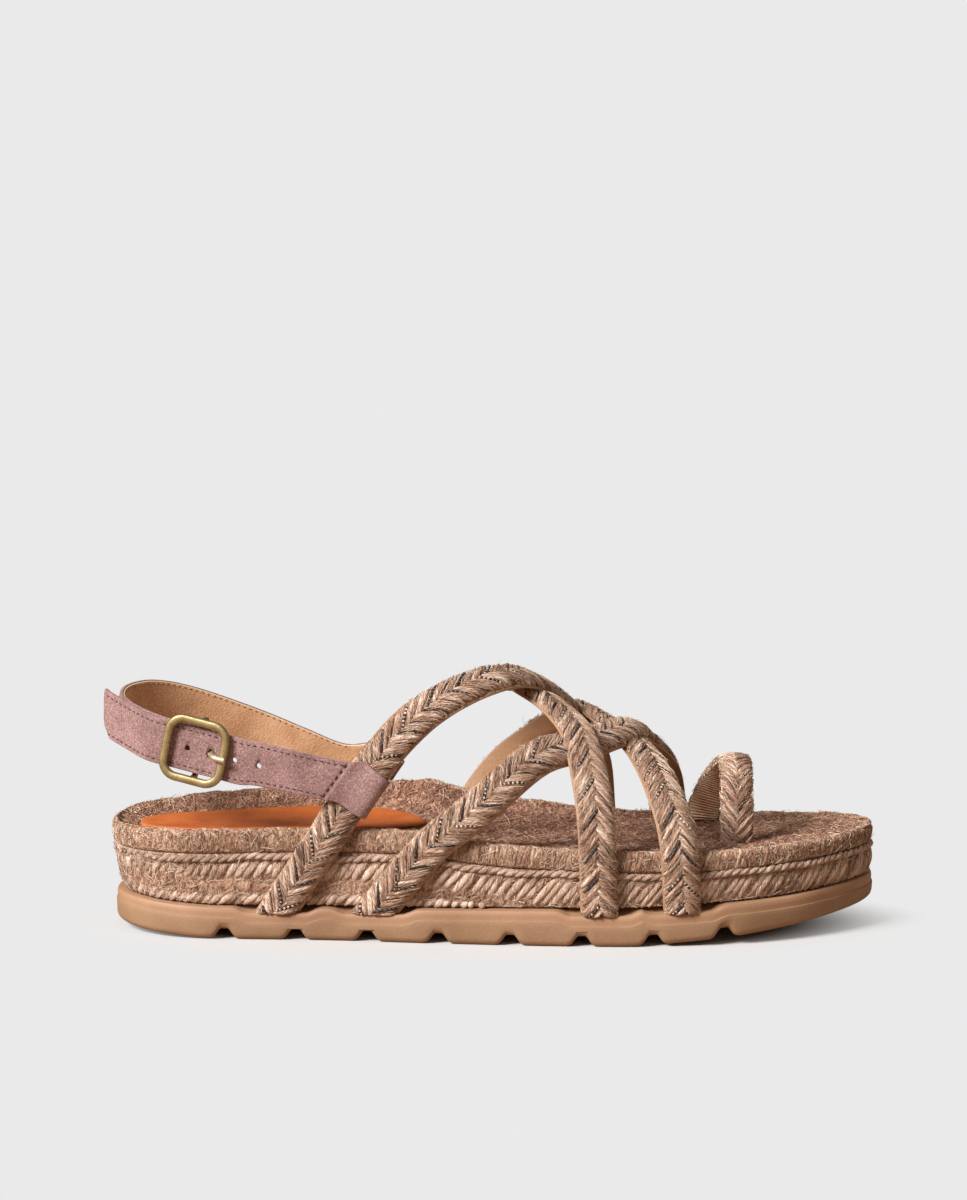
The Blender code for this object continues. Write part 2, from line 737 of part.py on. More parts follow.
def level_lean(path, distance):
    """Shear along a band that makes its cut end level."""
    place, tangent, normal, lift = on_path(path, distance)
    across = np.cross(normal, tangent)
    return -across[2] / tangent[2]


def braid_rings(path, arrow, half, scale):
    """Cross sections of a braid: a flat inner face and a crowned outer face with raised strips."""
    length = path.reach[-1]
    count = 2 * int(round(length / STRIP_PITCH))
    leans = (level_lean(path, 0.0), level_lean(path, length))
    rings = []
    for k in range(count + 1):
        distance = length * k / count
        first = 1 - ease(distance / END_REACH)
        last = 1 - ease((length - distance) / END_REACH)
        free = 1 - first - last
        lean = leans[0] * first + leans[1] * last
        thick = BRAID_CROWN * scale * (1 - (1 - END_THIN) * (first + last))
        pressed = on_path(path, distance)[3]
        groove_here = STRIP_RISE * (1 - k % 2) * free * max(0.0, 1 + PRESSED_FLAT * min(pressed, 0.0))
        ring = []
        for row in BRAID_SECTION:
            arrow_shift = -arrow * half * abs(row.side) / math.tan(STRIP_ANGLE) * free
            spot = distance + arrow_shift + lean * row.side * half
            place, tangent, normal, lift = on_path(path, spot)
            across = np.cross(normal, tangent)
            height = lift + thick * row.height - groove_here * row.strip
            ring.append(place + across * row.side * half + normal * height)
        rings.append(ring)
    return rings


def make_upper(paths):
    """Four braided straps joined where they cross."""
    straps = []
    for name, path in paths.items():
        vertices, faces = join_rings(braid_rings(path, ARROWS[name], BRAID_HALF, 1.0))
        straps.append(make_object(name, vertices, faces, None))
    upper = make_object("upper", [], [], JUTE)
    material = upper.data.materials[0]
    upper.data = straps[0].data
    upper.data.materials.append(material)
    bpy.data.objects.remove(straps[0], do_unlink=True)
    for strap in straps[1:]:
        combine(upper, strap, "UNION")
    return upper


def make_toe_loop():
    """Braided arch over the big toe, its ends standing on the footbed."""
    near = np.array((*LOOP_NEAR, float(footbed_height(*LOOP_NEAR))))
    far = np.array((*LOOP_FAR, float(footbed_height(*LOOP_FAR))))
    middle = (near + far) / 2
    half = (far - near) / 2
    places = []
    normals = []
    for angle in np.linspace(0.0, math.pi, LOOP_SAMPLES):
        cosine = math.cos(angle)
        sine = math.sin(angle)
        power = LOOP_NEAR_POWER if cosine > 0 else LOOP_FAR_POWER
        side = math.copysign(abs(cosine) ** (2 / power), cosine)
        rise = abs(sine) ** (2 / power)
        place = middle - half * side + UP * (LOOP_RISE * rise + LOOP_SEAT)
        lean = 1.0 if cosine > 0 else rise ** LOOP_LEAN_POWER
        place[0] = far[0] + (near[0] - far[0]) * lean
        places.append(place)
        outward = -INNER * math.copysign(abs(cosine) ** LOOP_TURN_POWER, cosine)
        normals.append(outward + UP * abs(sine) ** LOOP_TURN_POWER)
    path = make_path(places, normals, np.zeros(len(places)))
    vertices, faces = join_rings(braid_rings(path, -1.0, LOOP_HALF, LOOP_SCALE))
    return make_object("toe_loop", vertices, faces, JUTE)


# Suede straps and buckle

def catmull(points, steps):
    """Smooth curve through hand-chosen points."""
    points = np.array(points, float)
    ends = np.vstack((2 * points[0] - points[1], points, 2 * points[-1] - points[-2]))
    curve = []
    for i in range(1, len(ends) - 2):
        a, b, c, d = ends[i - 1:i + 3]
        for t in np.arange(steps) / steps:
            curve.append(0.5 * (2 * b + (c - a) * t + (2 * a - 5 * b + 4 * c - d) * t ** 2
                                + (3 * b - a - 3 * c + d) * t ** 3))
    curve.append(points[-1])
    return np.array(curve)


def buckle_axes():
    """Directions at the buckle: forward along the strap, up its width and out from the foot."""
    forward = np.array((math.cos(BUCKLE_FALL) * math.cos(BUCKLE_HEADING),
                        math.cos(BUCKLE_FALL) * math.sin(BUCKLE_HEADING), math.sin(BUCKLE_FALL)))
    width = unit(UP - forward * forward[2])
    return forward, width, np.cross(forward, width)


def at_buckle(forward_by, out_by, width_by=0.0):
    forward, width, out = buckle_axes()
    return BUCKLE_PLACE + forward * forward_by + out * out_by + width * width_by


def round_bar(radius, turns):
    """Places round the buckle's bar, at angles in degrees."""
    places = []
    for degrees in turns:
        turn = math.radians(degrees)
        places.append(at_buckle(radius * math.cos(turn), BAR_BACK + radius * math.sin(turn)))
    return places


def ribbon(name, columns, thickness):
    """Flat band between side-by-side curves, lowest first, with a thickness at each step along them."""
    tangents = np.gradient(columns[1], axis=0)
    rings = []
    for i, thick in enumerate(thickness):
        out = unit(np.cross(tangents[i], columns[-1][i] - columns[0][i])) * thick / 2
        ring = [curve[i] - out for curve in columns]
        ring += [curve[i] + out for curve in columns[::-1]]
        rings.append(ring)
    vertices, faces = join_rings(rings)
    return make_object(name, vertices, faces, SUEDE)


def upright(centres):
    """Directions across a strap that stands upright along its run."""
    tangents = np.gradient(np.array(centres), axis=0)
    return [unit(UP - unit(t) * unit(t)[2]) for t in tangents]


def sleeve_section(path, distance):
    """Centres of a sleeve round a braid, one for each row of its section."""
    clear = SLEEVE_CLEAR + SKIVED / 2
    faces = {"crown": BRAID_CROWN + clear, "inner": -clear}
    edge = BRAID_HALF + clear
    place, tangent, normal, lift = on_path(path, distance)
    across = np.cross(normal, tangent)
    section = []
    for row in SLEEVE_SECTION:
        section.append(place + across * row.side * edge + normal * (faces[row.face] + row.rise))
    return section


def girth_distance(name, path, girth):
    rows = STRAPS[name]
    share = (girth - rows[0].girth) / (rows[-1].girth - rows[0].girth)
    return float(np.interp(share, np.linspace(0, 1, len(path.reach)), path.reach))


def strap_with_sleeve(name, run, halves, path, strap_name, girth, curled):
    """Band along a run that ends in a sleeve round a braided strap, its first places curled on the bar."""
    distance = girth_distance(strap_name, path, girth)
    direction = on_path(path, distance)[1]
    rising = math.copysign(1.0, direction[2])
    sleeve = sleeve_section(path, distance)
    widths = upright(run + sleeve[:1])[:len(run)]
    widths[:curled] = [buckle_axes()[1]] * curled
    widths[-1] = direction * rising
    columns = []
    for share in (-1.0, 0.0, 1.0):
        points = [place + width * half * share for place, width, half in zip(run, widths, halves)]
        points += sleeve_section(path, distance + share * rising * halves[-1])
        columns.append(catmull(points, RIBBON_STEPS))
    thickness = np.full(len(columns[0]), SUEDE_THICK)
    thickness[RIBBON_STEPS * len(run):] = SKIVED
    thickness[:RIBBON_STEPS * max(curled - 1, 0)] = SKIVED
    return ribbon(name, columns, thickness)


def make_buckle_strap(path):
    run = [np.array(row[:3]) for row in FREE_END]
    run += [at_buckle(place, 0.0) for place in BUCKLE_FLAT]
    halves = [SUEDE_HALF] * len(run) + [row.half for row in OUTER_RUN]
    run += [np.array(row[:3]) for row in OUTER_RUN]
    strap = strap_with_sleeve("buckle_strap", run, halves, path, "strap_outer_rear", OUTER_SLEEVE_GIRTH, 0)
    for k, place in enumerate(HOLES):
        radius = PRONG_HOLE_RADIUS if place == PRONG_HOLE else HOLE_RADIUS
        ends = [at_buckle(place, -SUEDE_THICK), at_buckle(place, SUEDE_THICK)]
        combine(strap, make_tube("punch_%d" % k, ends, radius, ROD_SIDES, None), "DIFFERENCE")
    return strap


def make_heel_strap(path):
    curl = BAR_RADIUS + GAP + SKIVED / 2
    run = [at_buckle(*row) for row in CURL_TAIL]
    run += round_bar(curl, CURL_TURNS)
    run += [at_buckle(place, BAR_BACK + curl) for place in CURL_LEAD]
    curled = len(run)
    halves = [SUEDE_HALF] * curled + [row.half for row in HEEL_RUN]
    run += [np.array(row[:3]) for row in HEEL_RUN]
    strap = strap_with_sleeve("heel_strap", run, halves, path, "strap_outer_ball", INNER_SLEEVE_GIRTH, curled)
    rings = []
    for side in (-SLOT_HALF, SLOT_HALF):
        rings.append([at_buckle(row.forward, row.out, side) for row in SLOT_CORNERS])
    vertices, faces = join_rings(rings)
    combine(strap, make_object("prong_slot", vertices, faces, None), "DIFFERENCE")
    return strap


def make_tube(name, points, radius, sides, paint):
    """Round rod along a line of points."""
    points = np.array(points)
    tangents = np.gradient(points, axis=0)
    forward, width, out = buckle_axes()
    rings = []
    for place, tangent in zip(points, tangents):
        tangent = unit(tangent)
        guide = width if abs(np.dot(width, tangent)) < WIDTH_SHARE else forward
        first = unit(np.cross(tangent, guide))
        second = np.cross(tangent, first)
        turns = [2 * math.pi * k / sides for k in range(sides)]
        rings.append([place + radius * (first * math.cos(a) + second * math.sin(a)) for a in turns])
    vertices, faces = join_rings(rings)
    return make_object(name, vertices, faces, paint)


def make_buckle_frame():
    """Rounded square frame with a bar set back behind the strap."""
    corner = FRAME_CORNER - FRAME_BAR / 2
    hub = FRAME_MIDDLE - corner
    rings = []
    for quarter in range(4):
        bearing = math.radians(90 * quarter + 45)
        hub_forward = math.copysign(hub, math.cos(bearing))
        hub_width = math.copysign(hub, math.sin(bearing))
        for degrees in FRAME_TURNS:
            turn = math.radians(90 * quarter + degrees)
            ring = []
            for row in FRAME_SECTION:
                reach = corner + row.side * FRAME_BAR / 2
                out_by = FRAME_OUT + row.depth * FRAME_THICK / 2
                ring.append(at_buckle(hub_forward + reach * math.cos(turn), out_by,
                                      hub_width + reach * math.sin(turn)))
            rings.append(ring)
    vertices, faces = join_rings(rings, closed=True)
    frame = make_object("buckle_frame", vertices, faces, BRASS)
    bar = [at_buckle(row.forward, row.out, row.width) for row in BAR_HALF]
    bar += [at_buckle(row.forward, row.out, -row.width) for row in BAR_HALF[::-1]]
    combine(frame, make_rod_across("buckle_bar", bar), "UNION")
    return frame


def make_rod_across(name, points):
    """The buckle's bar, bent in the plane across the strap."""
    points = np.array(points)
    forward = buckle_axes()[0]
    tangents = np.gradient(points, axis=0)
    rings = []
    for place, tangent in zip(points, tangents):
        second = unit(np.cross(unit(tangent), forward))
        turns = [2 * math.pi * k / ROD_SIDES for k in range(ROD_SIDES)]
        rings.append([place + BAR_RADIUS * (forward * math.cos(a) + second * math.sin(a)) for a in turns])
    vertices, faces = join_rings(rings)
    return make_object(name, vertices, faces, None)


def make_prong():
    """Prong curled round the bar, out through the strap and over the frame's front bar."""
    run = round_bar(BAR_RADIUS + GAP + PRONG_RADIUS, PRONG_CURL)
    run += [at_buckle(*row) for row in PRONG_RUN]
    return make_tube("buckle_prong", catmull(run, PRONG_STEPS), PRONG_RADIUS, PRONG_SIDES, BRASS)


def build():
    clear_scene()
    paths = {name: strap_path(rows) for name, rows in STRAPS.items()}
    make_outsole()
    make_platform()
    make_footbed()
    make_sock()
    make_upper(paths)
    make_toe_loop()
    make_buckle_strap(paths["strap_outer_rear"])
    make_heel_strap(paths["strap_outer_ball"])
    make_buckle_frame()
    make_prong()


build()
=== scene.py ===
"""Looks of the right-foot braided flat sandal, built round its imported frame.

Tables are in millimetres, written as in the part's source; finished meshes are metres in the frame's axes.
"""
import math
from collections import namedtuple

import bmesh
import bpy
import numpy as np
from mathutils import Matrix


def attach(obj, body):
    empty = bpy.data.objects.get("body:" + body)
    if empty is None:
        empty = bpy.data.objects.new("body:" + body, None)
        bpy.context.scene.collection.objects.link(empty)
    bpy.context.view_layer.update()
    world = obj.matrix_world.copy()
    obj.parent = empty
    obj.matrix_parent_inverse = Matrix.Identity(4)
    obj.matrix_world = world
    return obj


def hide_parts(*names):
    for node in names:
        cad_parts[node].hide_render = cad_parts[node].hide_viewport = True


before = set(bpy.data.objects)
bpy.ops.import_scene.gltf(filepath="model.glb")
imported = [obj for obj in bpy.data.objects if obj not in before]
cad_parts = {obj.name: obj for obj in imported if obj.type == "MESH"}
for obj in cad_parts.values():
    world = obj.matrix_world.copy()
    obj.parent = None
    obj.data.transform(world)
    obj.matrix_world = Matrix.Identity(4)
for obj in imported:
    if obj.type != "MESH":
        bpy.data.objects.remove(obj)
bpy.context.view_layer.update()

MM = 0.001
GAP = 0.3
UP = np.array((0.0, 0.0, 1.0))
INNER = np.array((0.0, 1.0, 0.0))
BOX_MIDDLE = np.array((-1.545, -0.205, 0.0))
SIDE_SIGN = {"lateral": -1, "medial": 1}
chance = np.random.default_rng(7)


def rows_of(kind, *rows):
    """Table of rows of one kind."""
    return [kind(*row) for row in rows]


# Sole outline and heights
HEEL_END = -126.6
TOE_END = 127.5
HEEL_ROUND = 36.0
TOE_ROUND = 46.0
HEEL_POWER = 2.15
TOE_POWER = 2.3
END_TURNS = np.radians(np.linspace(4.0, 84.0, 21))
STATION_CLEAR = 0.6
SPRING_START = 42.0
TOE_SPRING = 8.3
SPRING_POWER = 1.35
HEEL_SPRING_START = -86.0
HEEL_SPRING = 2.4
HEEL_SPRING_POWER = 1.6

SoleRow = namedtuple("SoleRow", "along centre lateral medial rim_lateral rim_medial dish ledge top_band")
SOLE = rows_of(
    SoleRow,
    (-127, 0.0, -29.5, 29.5, 36.2, 36.8, 2.0, 10.6, 8.0),
    (-90, 0.0, -30.2, 30.8, 36.9, 40.0, 4.2, 10.8, 8.3),
    (-55, -0.6, -32.4, 31.2, 37.6, 42.0, 4.0, 11.0, 8.3),
    (-24, -2.4, -37.2, 31.4, 37.4, 43.8, 2.8, 11.4, 8.0),
    (-10, -2.8, -39.0, 32.6, 34.6, 40.6, 2.2, 11.6, 7.6),
    (10, -2.4, -41.4, 35.2, 32.7, 36.6, 2.0, 11.9, 7.3),
    (42, -1.0, -43.5, 41.2, 31.4, 31.6, 2.0, 12.2, 7.0),
    (70, 2.0, -41.4, 43.5, 31.0, 30.4, 2.0, 11.6, 6.6),
    (96, 5.5, -34.0, 42.6, 32.0, 30.6, 1.8, 10.2, 6.4),
    (128, 8.0, -20.0, 40.0, 33.2, 33.0, 1.0, 8.6, 6.2),
)

# How far the jute stands from the rubber's outline at its rim, and how much it narrows below
JuteRow = namedtuple("JuteRow", "along rim taper")
JUTE_SIDE = rows_of(
    JuteRow,
    (-127, 0.9, 3.2),
    (-100, -0.8, 2.4),
    (-60, -1.5, 1.9),
    (70, -1.5, 1.9),
    (110, -1.2, 1.0),
    (128, -0.6, 0.4),
)

# Rubber side, from the tread's edge up over the step and the lip to the ledge's inner edge;
# band is 1 on the smooth upper band and 0 on the grained part below the step
SideRow = namedtuple("SideRow", "out level rise band")
RUBBER_SIDE = rows_of(
    SideRow,
    (-2.0, "tread", 0.0, 0.0),
    (-1.3, "tread", 0.15, 0.0),
    (-0.7, "tread", 0.55, 0.0),
    (-0.1, "tread", 1.25, 0.0),
    (0.2, "tread", 2.2, 0.0),
    (0.3, "lip", -5.2, 0.0),
    (0.38, "lip", -3.9, 0.0),
    (0.3, "lip", -3.6, 0.0),
    (0.0, "lip", -3.45, 0.5),
    (-0.05, "lip", -3.1, 1.0),
    (0.05, "lip", -2.0, 1.0),
    (0.0, "lip", -0.9, 1.0),
    (-0.35, "lip", -0.25, 1.0),
    (-1.0, "lip", 0.0, 1.0),
    (-4.6, "lip", 0.0, 1.0),
    (-7.0, "ledge", -0.4, 1.0),
)

# Grooves across the tread
GROOVE_FIRST = -89.5
GROOVE_PITCH = 23.65
GROOVE_COUNT = 8
LUG_SHARES = (0.28, 0.36, 0.44, 0.52, 0.6, 0.68)
SHARP_TURN = math.radians(40.0)
GrooveRow = namedtuple("GrooveRow", "offset depth")
GROOVE = rows_of(
    GrooveRow,
    (-5.4, 0.0),
    (-4.6, 0.12),
    (-3.9, 0.4),
    (-3.3, 0.8),
    (-2.6, 1.7),
    (-1.9, 2.75),
    (-1.2, 3.4),
    (1.2, 3.4),
    (1.9, 2.75),
    (2.6, 1.7),
    (3.3, 0.8),
    (3.9, 0.4),
    (4.6, 0.12),
    (5.4, 0.0),
)

# The ledge sinks where a strap is tucked in
DIP = 1.7
DIP_FLAT = 9.5
DIP_END = 15.0

# Jute layers, as fractions of each layer's height
RibRow = namedtuple("RibRow", "level bulge")
PLATFORM_FELT = rows_of(
    RibRow,
    (0.0, -1.1),
    (0.06, -0.5),
    (0.2, -0.3),
    (0.5, -0.2),
    (0.86, -0.5),
    (1.0, -0.9),
)
FOOTBED_FELT = rows_of(
    RibRow,
    (0.0, -0.6),
    (0.14, 0.15),
    (0.5, 0.45),
    (0.8, 0.3),
    (0.94, -0.15),
    (1.0, -0.8),
)
FOOTBED_TOP_BULGE = -0.5
RIB_MOST = 1.0
LAYER_SPACING = 2.5
DISH_POWER = 3.2
ARCH_POWER = 3.2
ACROSS = np.linspace(0.02, 0.98, 33)
TOP_ROUGHNESS = 0.16

# The footbed's rim is worn in two slow waves, out of step on its two sides
WearRow = namedtuple("WearRow", "depth length turn")
WEAR = [WearRow(0.28, 3.1, 1.0), WearRow(0.2, 1.45, 2.0)]
WEAR_PHASE = {"lateral": 0.0, "medial": 2.0}

# Bands on the platform's side, as shares of its height: twisted strands, felt, then tall ropes and a cord
BandRow = namedtuple("BandRow", "along strands_top felt_top")
BANDS = rows_of(
    BandRow,
    (-127, 0.24, 0.50),
    (-70, 0.23, 0.48),
    (-30, 0.18, 0.38),
    (0, 0.08, 0.20),
    (26, 0.0, 0.0),
    (128, 0.0, 0.0),
)
CORD_LEVEL = 0.92
CORD_WANDER = 0.035
CORD_WAVES = (11, 29, 17)
CORD_WAVE_SHARE = 0.6
CORD_SWELL = 0.12
CORD_OUT = 0.1
CORD_STEPS = 8
CORD_SIDES = 8
CORD_FLATNESS = 0.9
CORD_TONES = (0.4, 0.6)
ROPE_TOP = 0.87
ROPE_PITCH = 3.0
ROPE_SLANT = math.radians(38.0)
STRAND_SLANT = math.radians(58.0)
ROPE_STEPS = 9
ROPE_SIDES = 9
ROPE_START = 0.02
ROPE_OUT = -1.0
ROPE_BULGE = 1.05
ROPE_ENDS = (0.03, 0.97)
ROPE_SWELL_POWER = 0.6
ROPE_STRAY = 0.25
ROPE_LEAN_STRAY = 0.06
ROPE_OUT_STRAY = 0.14
ROPE_GIRTHS = (0.85, 1.1)
ROPE_GIRTH = 1.3
STRAND_GIRTH = 1.15
ROPE_FLATNESS = 0.75
CORD_GIRTH = 0.78
CORD_SPLIT = 0.55
CORD_TURN = 6.0
RIB_PITCH = 1.25
RIB_GIRTH = 0.64
RIB_SINK = 0.3
RIB_OUT = -0.28
RIB_TOP = 1.2
RIB_STEPS = 10
RIB_SIDES = 6
RIB_FLATNESS = 0.8
RIB_LEAN = 2.0
RIB_LEAN_STRAY = 0.7
RIB_STRAY = 0.18
RIB_CLIMB_STRAY = 0.05
RIB_OUT_STRAY = 0.1
RIB_GIRTHS = (0.75, 1.15)
RIB_SHOWS = (-60.0, 10.0)
ROPE_SHOWS = (-112.0, -66.0)
ROPE_SINK = 0.55
CORD_SHOWS = (-121.0, -104.0)
CORD_SINK = 1.0

# Up the footbed's side and over its rim: climb is 1 at the rim, past it the way leads inward
ClimbRow = namedtuple("ClimbRow", "climb level out")
CLIMB = rows_of(
    ClimbRow,
    (0.0, 0.03, -0.45),
    (0.14, 0.14, 0.25),
    (0.5, 0.5, 0.5),
    (0.85, 0.86, 0.3),
    (1.0, 0.98, -0.35),
    (1.15, 1.0, -1.5),
    (1.6, 1.0, -5.1),
)
TILT_SPAN = (0.75, 1.15)
TOP_SPAN = (1.0, 1.15)

# Loose fibres: how many, their length and radius, how far they wander and how far they stand off
FuzzRow = namedtuple("FuzzRow", "count shortest longest radius wander rise")
FUZZ = {
    "rim": FuzzRow(7500, 2.0, 6.0, 0.075, 0.6, 0.4),
    "platform": FuzzRow(7500, 2.0, 5.5, 0.075, 0.7, 0.45),
    "top": FuzzRow(9000, 2.5, 6.5, 0.08, 0.5, 0.55),
    "braid": FuzzRow(3000, 2.0, 6.0, 0.06, 0.2, 0.4),
    "loop": FuzzRow(1000, 2.0, 5.0, 0.06, 0.2, 0.35),
}
FIBRE_STEPS = 3
FIBRE_SIDES = 3
FIBRE_BEND = 0.7
FIBRE_LIFT = 0.5
FIBRE_ARCH = 0.2
FIBRE_GIRTHS = (0.7, 1.3)
FIBRE_LAY = np.array((0.31, 0.22, 0.92))
TOP_HEADING = 1.25
# Where fibres start and how far they may reach: up the rim, up the platform, over the top, along a strand
RIM_START = (0.02, 1.3)
RIM_REACH = (0.0, 1.6)
RIM_OFF = 0.02
RIM_OFF_SHOWN = 0.1
PLATFORM_START = (0.04, 0.98)
PLATFORM_REACH = (0.03, 1.0)
PLATFORM_OFF = 0.25
TOP_START_INSET = 3.0
TOP_INSET = 1.0
TOP_SHARES = (0.02, 0.98)
TOP_EDGE = 0.3
TOP_OFF = 0.08
STRAND_START = (0.1, 0.85)
STRAND_REACH = (0.05, 0.95)
STRAND_STRETCH = 1.25
STRAND_OFF = 0.1

# Heel sock
SOCK_REAR = -118.5
SOCK_FRONT = -25.0
SOCK_ACROSS = -3.5
SOCK_HALF_WIDTH = 18.5
SOCK_POWER = 2.6
SOCK_SKEW = 0.55
SOCK_THICK = 1.1
SOCK_TURNS = 120
SOCK_LEVELS = (1.0, 0.99, 0.97, 0.93, 0.86, 0.76, 0.64, 0.52, 0.4, 0.28, 0.16, 0.06)
SOCK_EDGE = (0.45, 0.85, 0.98)

# Instep that the straps lie on
RidgeRow = namedtuple("RidgeRow", "along height")
RIDGE = rows_of(
    RidgeRow,
    (-75, 91.0),
    (-45, 89.0),
    (-16, 85.2),
    (0, 81.8),
    (15, 76.4),
    (28, 69.8),
    (48, 60.5),
    (62, 55.5),
    (80, 50.0),
)
WALL_GIRTH = 30.0
STRAP_CLEAR = 0.6
STRAP_SEAT = 0.4
PATH_SAMPLES = 161

# Each strap runs round the foot: girth is 0 at the outer rim, 90 on the ridge, 180 at the inner rim
StrapRow = namedtuple("StrapRow", "girth along lift")
OVER = 3.1
UNDER = -0.7
STRAPS = {
    "outer_rear": rows_of(
        StrapRow,
        (-30, -72, 0), (0, -54, 0), (17, -44, 0), (37, -31, 1.2),
        (54, -18, 3.2), (69, -4, 5.0), (82, 5, 4.4), (92.5, 11.5, OVER),
        (107, 21.8, 0.8),
        (120, 27.5, UNDER), (140, 32, 0), (160, 34.5, 0), (180, 35.5, 0),
        (210, 37, 0),
    ),
    "outer_waist": rows_of(
        StrapRow,
        (-30, -39.8, 0), (0, -17.4, 0), (20, -0.4, 0), (40, 14, 0),
        (56, 27, UNDER), (74, 37, 0.8), (90, 44, OVER), (106, 49.5, 0.8),
        (122, 53.5, 0), (150, 58, 0), (180, 60, 0), (210, 61, 0),
    ),
    "outer_ball": rows_of(
        StrapRow,
        (-30, 34.8, 0), (0, 34.2, 0), (25, 33, 0), (40, 31, 0.9),
        (56, 27, OVER), (74, 20.5, 0.9), (92.5, 11.5, UNDER), (109, 0, 0),
        (126, -9.5, 0), (146, -24, 0), (160, -33, 0), (180, -44, 0),
        (210, -57.5, 0),
    ),
    "outer_front": rows_of(
        StrapRow,
        (-30, 62, 0), (0, 61, 0), (20, 59.5, 0), (45, 55.5, 0),
        (70, 50, 0), (90, 44, UNDER), (105, 36, 0.9), (120, 27.5, OVER),
        (135, 20.5, 0.9), (150, 13, 0), (165, 4, 0), (180, -3.5, 0),
        (210, -16.5, 0),
    ),
}
# Which way each strap's strands lean, the columns with dark threads, and how far its lining shows each way
BraidStyle = namedtuple("BraidStyle", "arrow accent_columns rear_lining front_lining")
STYLES = {
    "outer_rear": BraidStyle(1.0, (-1, 1), 5.9, 6.5),
    "outer_waist": BraidStyle(1.0, (-1, 1), 5.9, 6.6),
    "outer_ball": BraidStyle(-1.0, (1,), 6.45, 5.6),
    "outer_front": BraidStyle(-1.0, (-1, 1), 6.45, 5.6),
}
BRAID_HALF = 6.0
BRAID_CROWN = 4.2
END_REACH = 17.0
END_THIN = 0.72
STRAND_PITCH = 5.0
STRAND_ANGLE = math.radians(40.0)
YARN_GIRTH = 0.66
YARN_FLATNESS = 0.85
YARN_STEPS = 12
YARN_SIDES = 7
YARN_STRAY = 0.12
YARN_LOFT = 0.13
YARN_GIRTHS = (0.88, 1.14)
StrandYarn = namedtuple("StrandYarn", "offset rise")
STRAND_YARNS = [StrandYarn(-0.27, -0.12), StrandYarn(0.0, 0.25), StrandYarn(0.27, -0.12)]
STRAND_STRAY = 0.4
STRAND_NECK = 0.76
STRAND_BELLY = 0.36
BELLY_START = 0.08
EDGE_WRAP = 0.16
WRAP_ROWS = (6.0, 8.0)
COLUMN_SHIFT = 0.25
# A strand past a braid's cut end is squeezed against it, and dropped if fewer steps than this stay inside
STEPS_INSIDE = 3
END_SLACK = 0.01
END_SINK = 4.0
YarnRow = namedtuple("YarnRow", "side height turn")
YARN_RUN = rows_of(
    YarnRow,
    (-0.26, 0.50, 0),
    (-0.10, 0.84, 0),
    (0.08, 1.0, 0),
    (0.34, 0.99, 8),
    (0.60, 0.90, 22),
    (0.82, 0.72, 45),
    (0.96, 0.48, 78),
    (1.0, 0.27, 100),
    (0.95, 0.11, 130),
)
ACCENT_EVERY = 2
ACCENT_OFFSET = 0.5
ACCENT_SIDES = 6
ACCENT_FLATNESS = 0.9
ACCENT_GIRTH = 0.52
ACCENT_RISE = 0.6
ACCENT_START = 0.14
ACCENT_FINISH = 0.68
FLECK_TURN = 4400.0
BAND_STEP = 1.6
CORE_TURNS = np.linspace(0.0, math.pi, 13)
CORE_WIDTH = 0.86
CORE_HEIGHT = 0.8
CORE_LOW = 0.5
CORE_POWER = 0.8
LINING_THICK = 0.9
LINING_LOW = -0.1
BEVEL_SIDE = 0.25
BEVEL_RISE = 0.3
EDGE_BAND = 0.3

# Toe loop
LOOP_NEAR = (81.0, -13.0)
LOOP_FAR = (71.0, 28.0)
LOOP_RISE = 23.2
LOOP_SEAT = 0.5
LOOP_NEAR_POWER = 3.4
LOOP_FAR_POWER = 1.8
LOOP_TURN_POWER = 1.2
LOOP_LEAN_POWER = 1.5
LOOP_SCALE = 0.78
LOOP_HALF = 5.6
LOOP_SAMPLES = 121
LOOP_PITCH = 4.3
LOOP_LINING_HALF = 5.2
LOOP_THREAD_PITCH = 0.95

# Suede straps. Each ends in a sleeve: over a braid's outer face, round its front edge, to the inner face
SUEDE_HALF = 7.7
SUEDE_THICK = 1.8
SKIVED = 1.2
OUTER_SLEEVE_HALF = 7.6
INNER_SLEEVE_HALF = 4.3
SLEEVE_CLEAR = 0.5
RIBBON_STEPS = 10
SleeveRow = namedtuple("SleeveRow", "side face rise")
SLEEVE_SECTION = rows_of(
    SleeveRow,
    (0.35, "crown", 0.0),
    (-0.35, "crown", 0.0),
    (-0.78, "crown", -0.6),
    (-1.0, "crown", -1.9),
    (-1.05, "inner", 2.95),
    (-0.95, "inner", 0.3),
    (-0.6, "inner", 0.0),
    (0.6, "inner", 0.0),
    (0.98, "inner", 0.2),
)
BUCKLE_PLACE = np.array((-98.0, -31.4, 63.9))
BUCKLE_HEADING = math.radians(-14.5)
BUCKLE_FALL = math.radians(-12.0)
OUTER_SLEEVE_GIRTH = 16.0
INNER_SLEEVE_GIRTH = 171.3
PathRow = namedtuple("PathRow", "along across up half", defaults=(SUEDE_HALF,))
FREE_END = rows_of(
    PathRow,
    (-130.5, -9.8, 74.3),
    (-128.8, -12.0, 73.2),
    (-120.6, -20.2, 69.8),
)
OUTER_RUN = rows_of(
    PathRow,
    (-77.0, -36.0, 59.9, 7.3),
    (-65.0, -37.2, 57.4, 7.0),
    (-53.6, -37.3, 54.9, OUTER_SLEEVE_HALF),
)
HEEL_RUN = rows_of(
    PathRow,
    (-119.0, -16.0, 69.0),
    (-124.2, -4.5, 71.0),
    (-122.6, 9.0, 72.2),
    (-115.2, 19.0, 72.0),
    (-103.6, 26.5, 68.6),
    (-83.0, 32.4, 60.4),
    (-66.0, 34.8, 53.8, 6.9),
    (-53.0, 36.4, 51.3, INNER_SLEEVE_HALF),
)
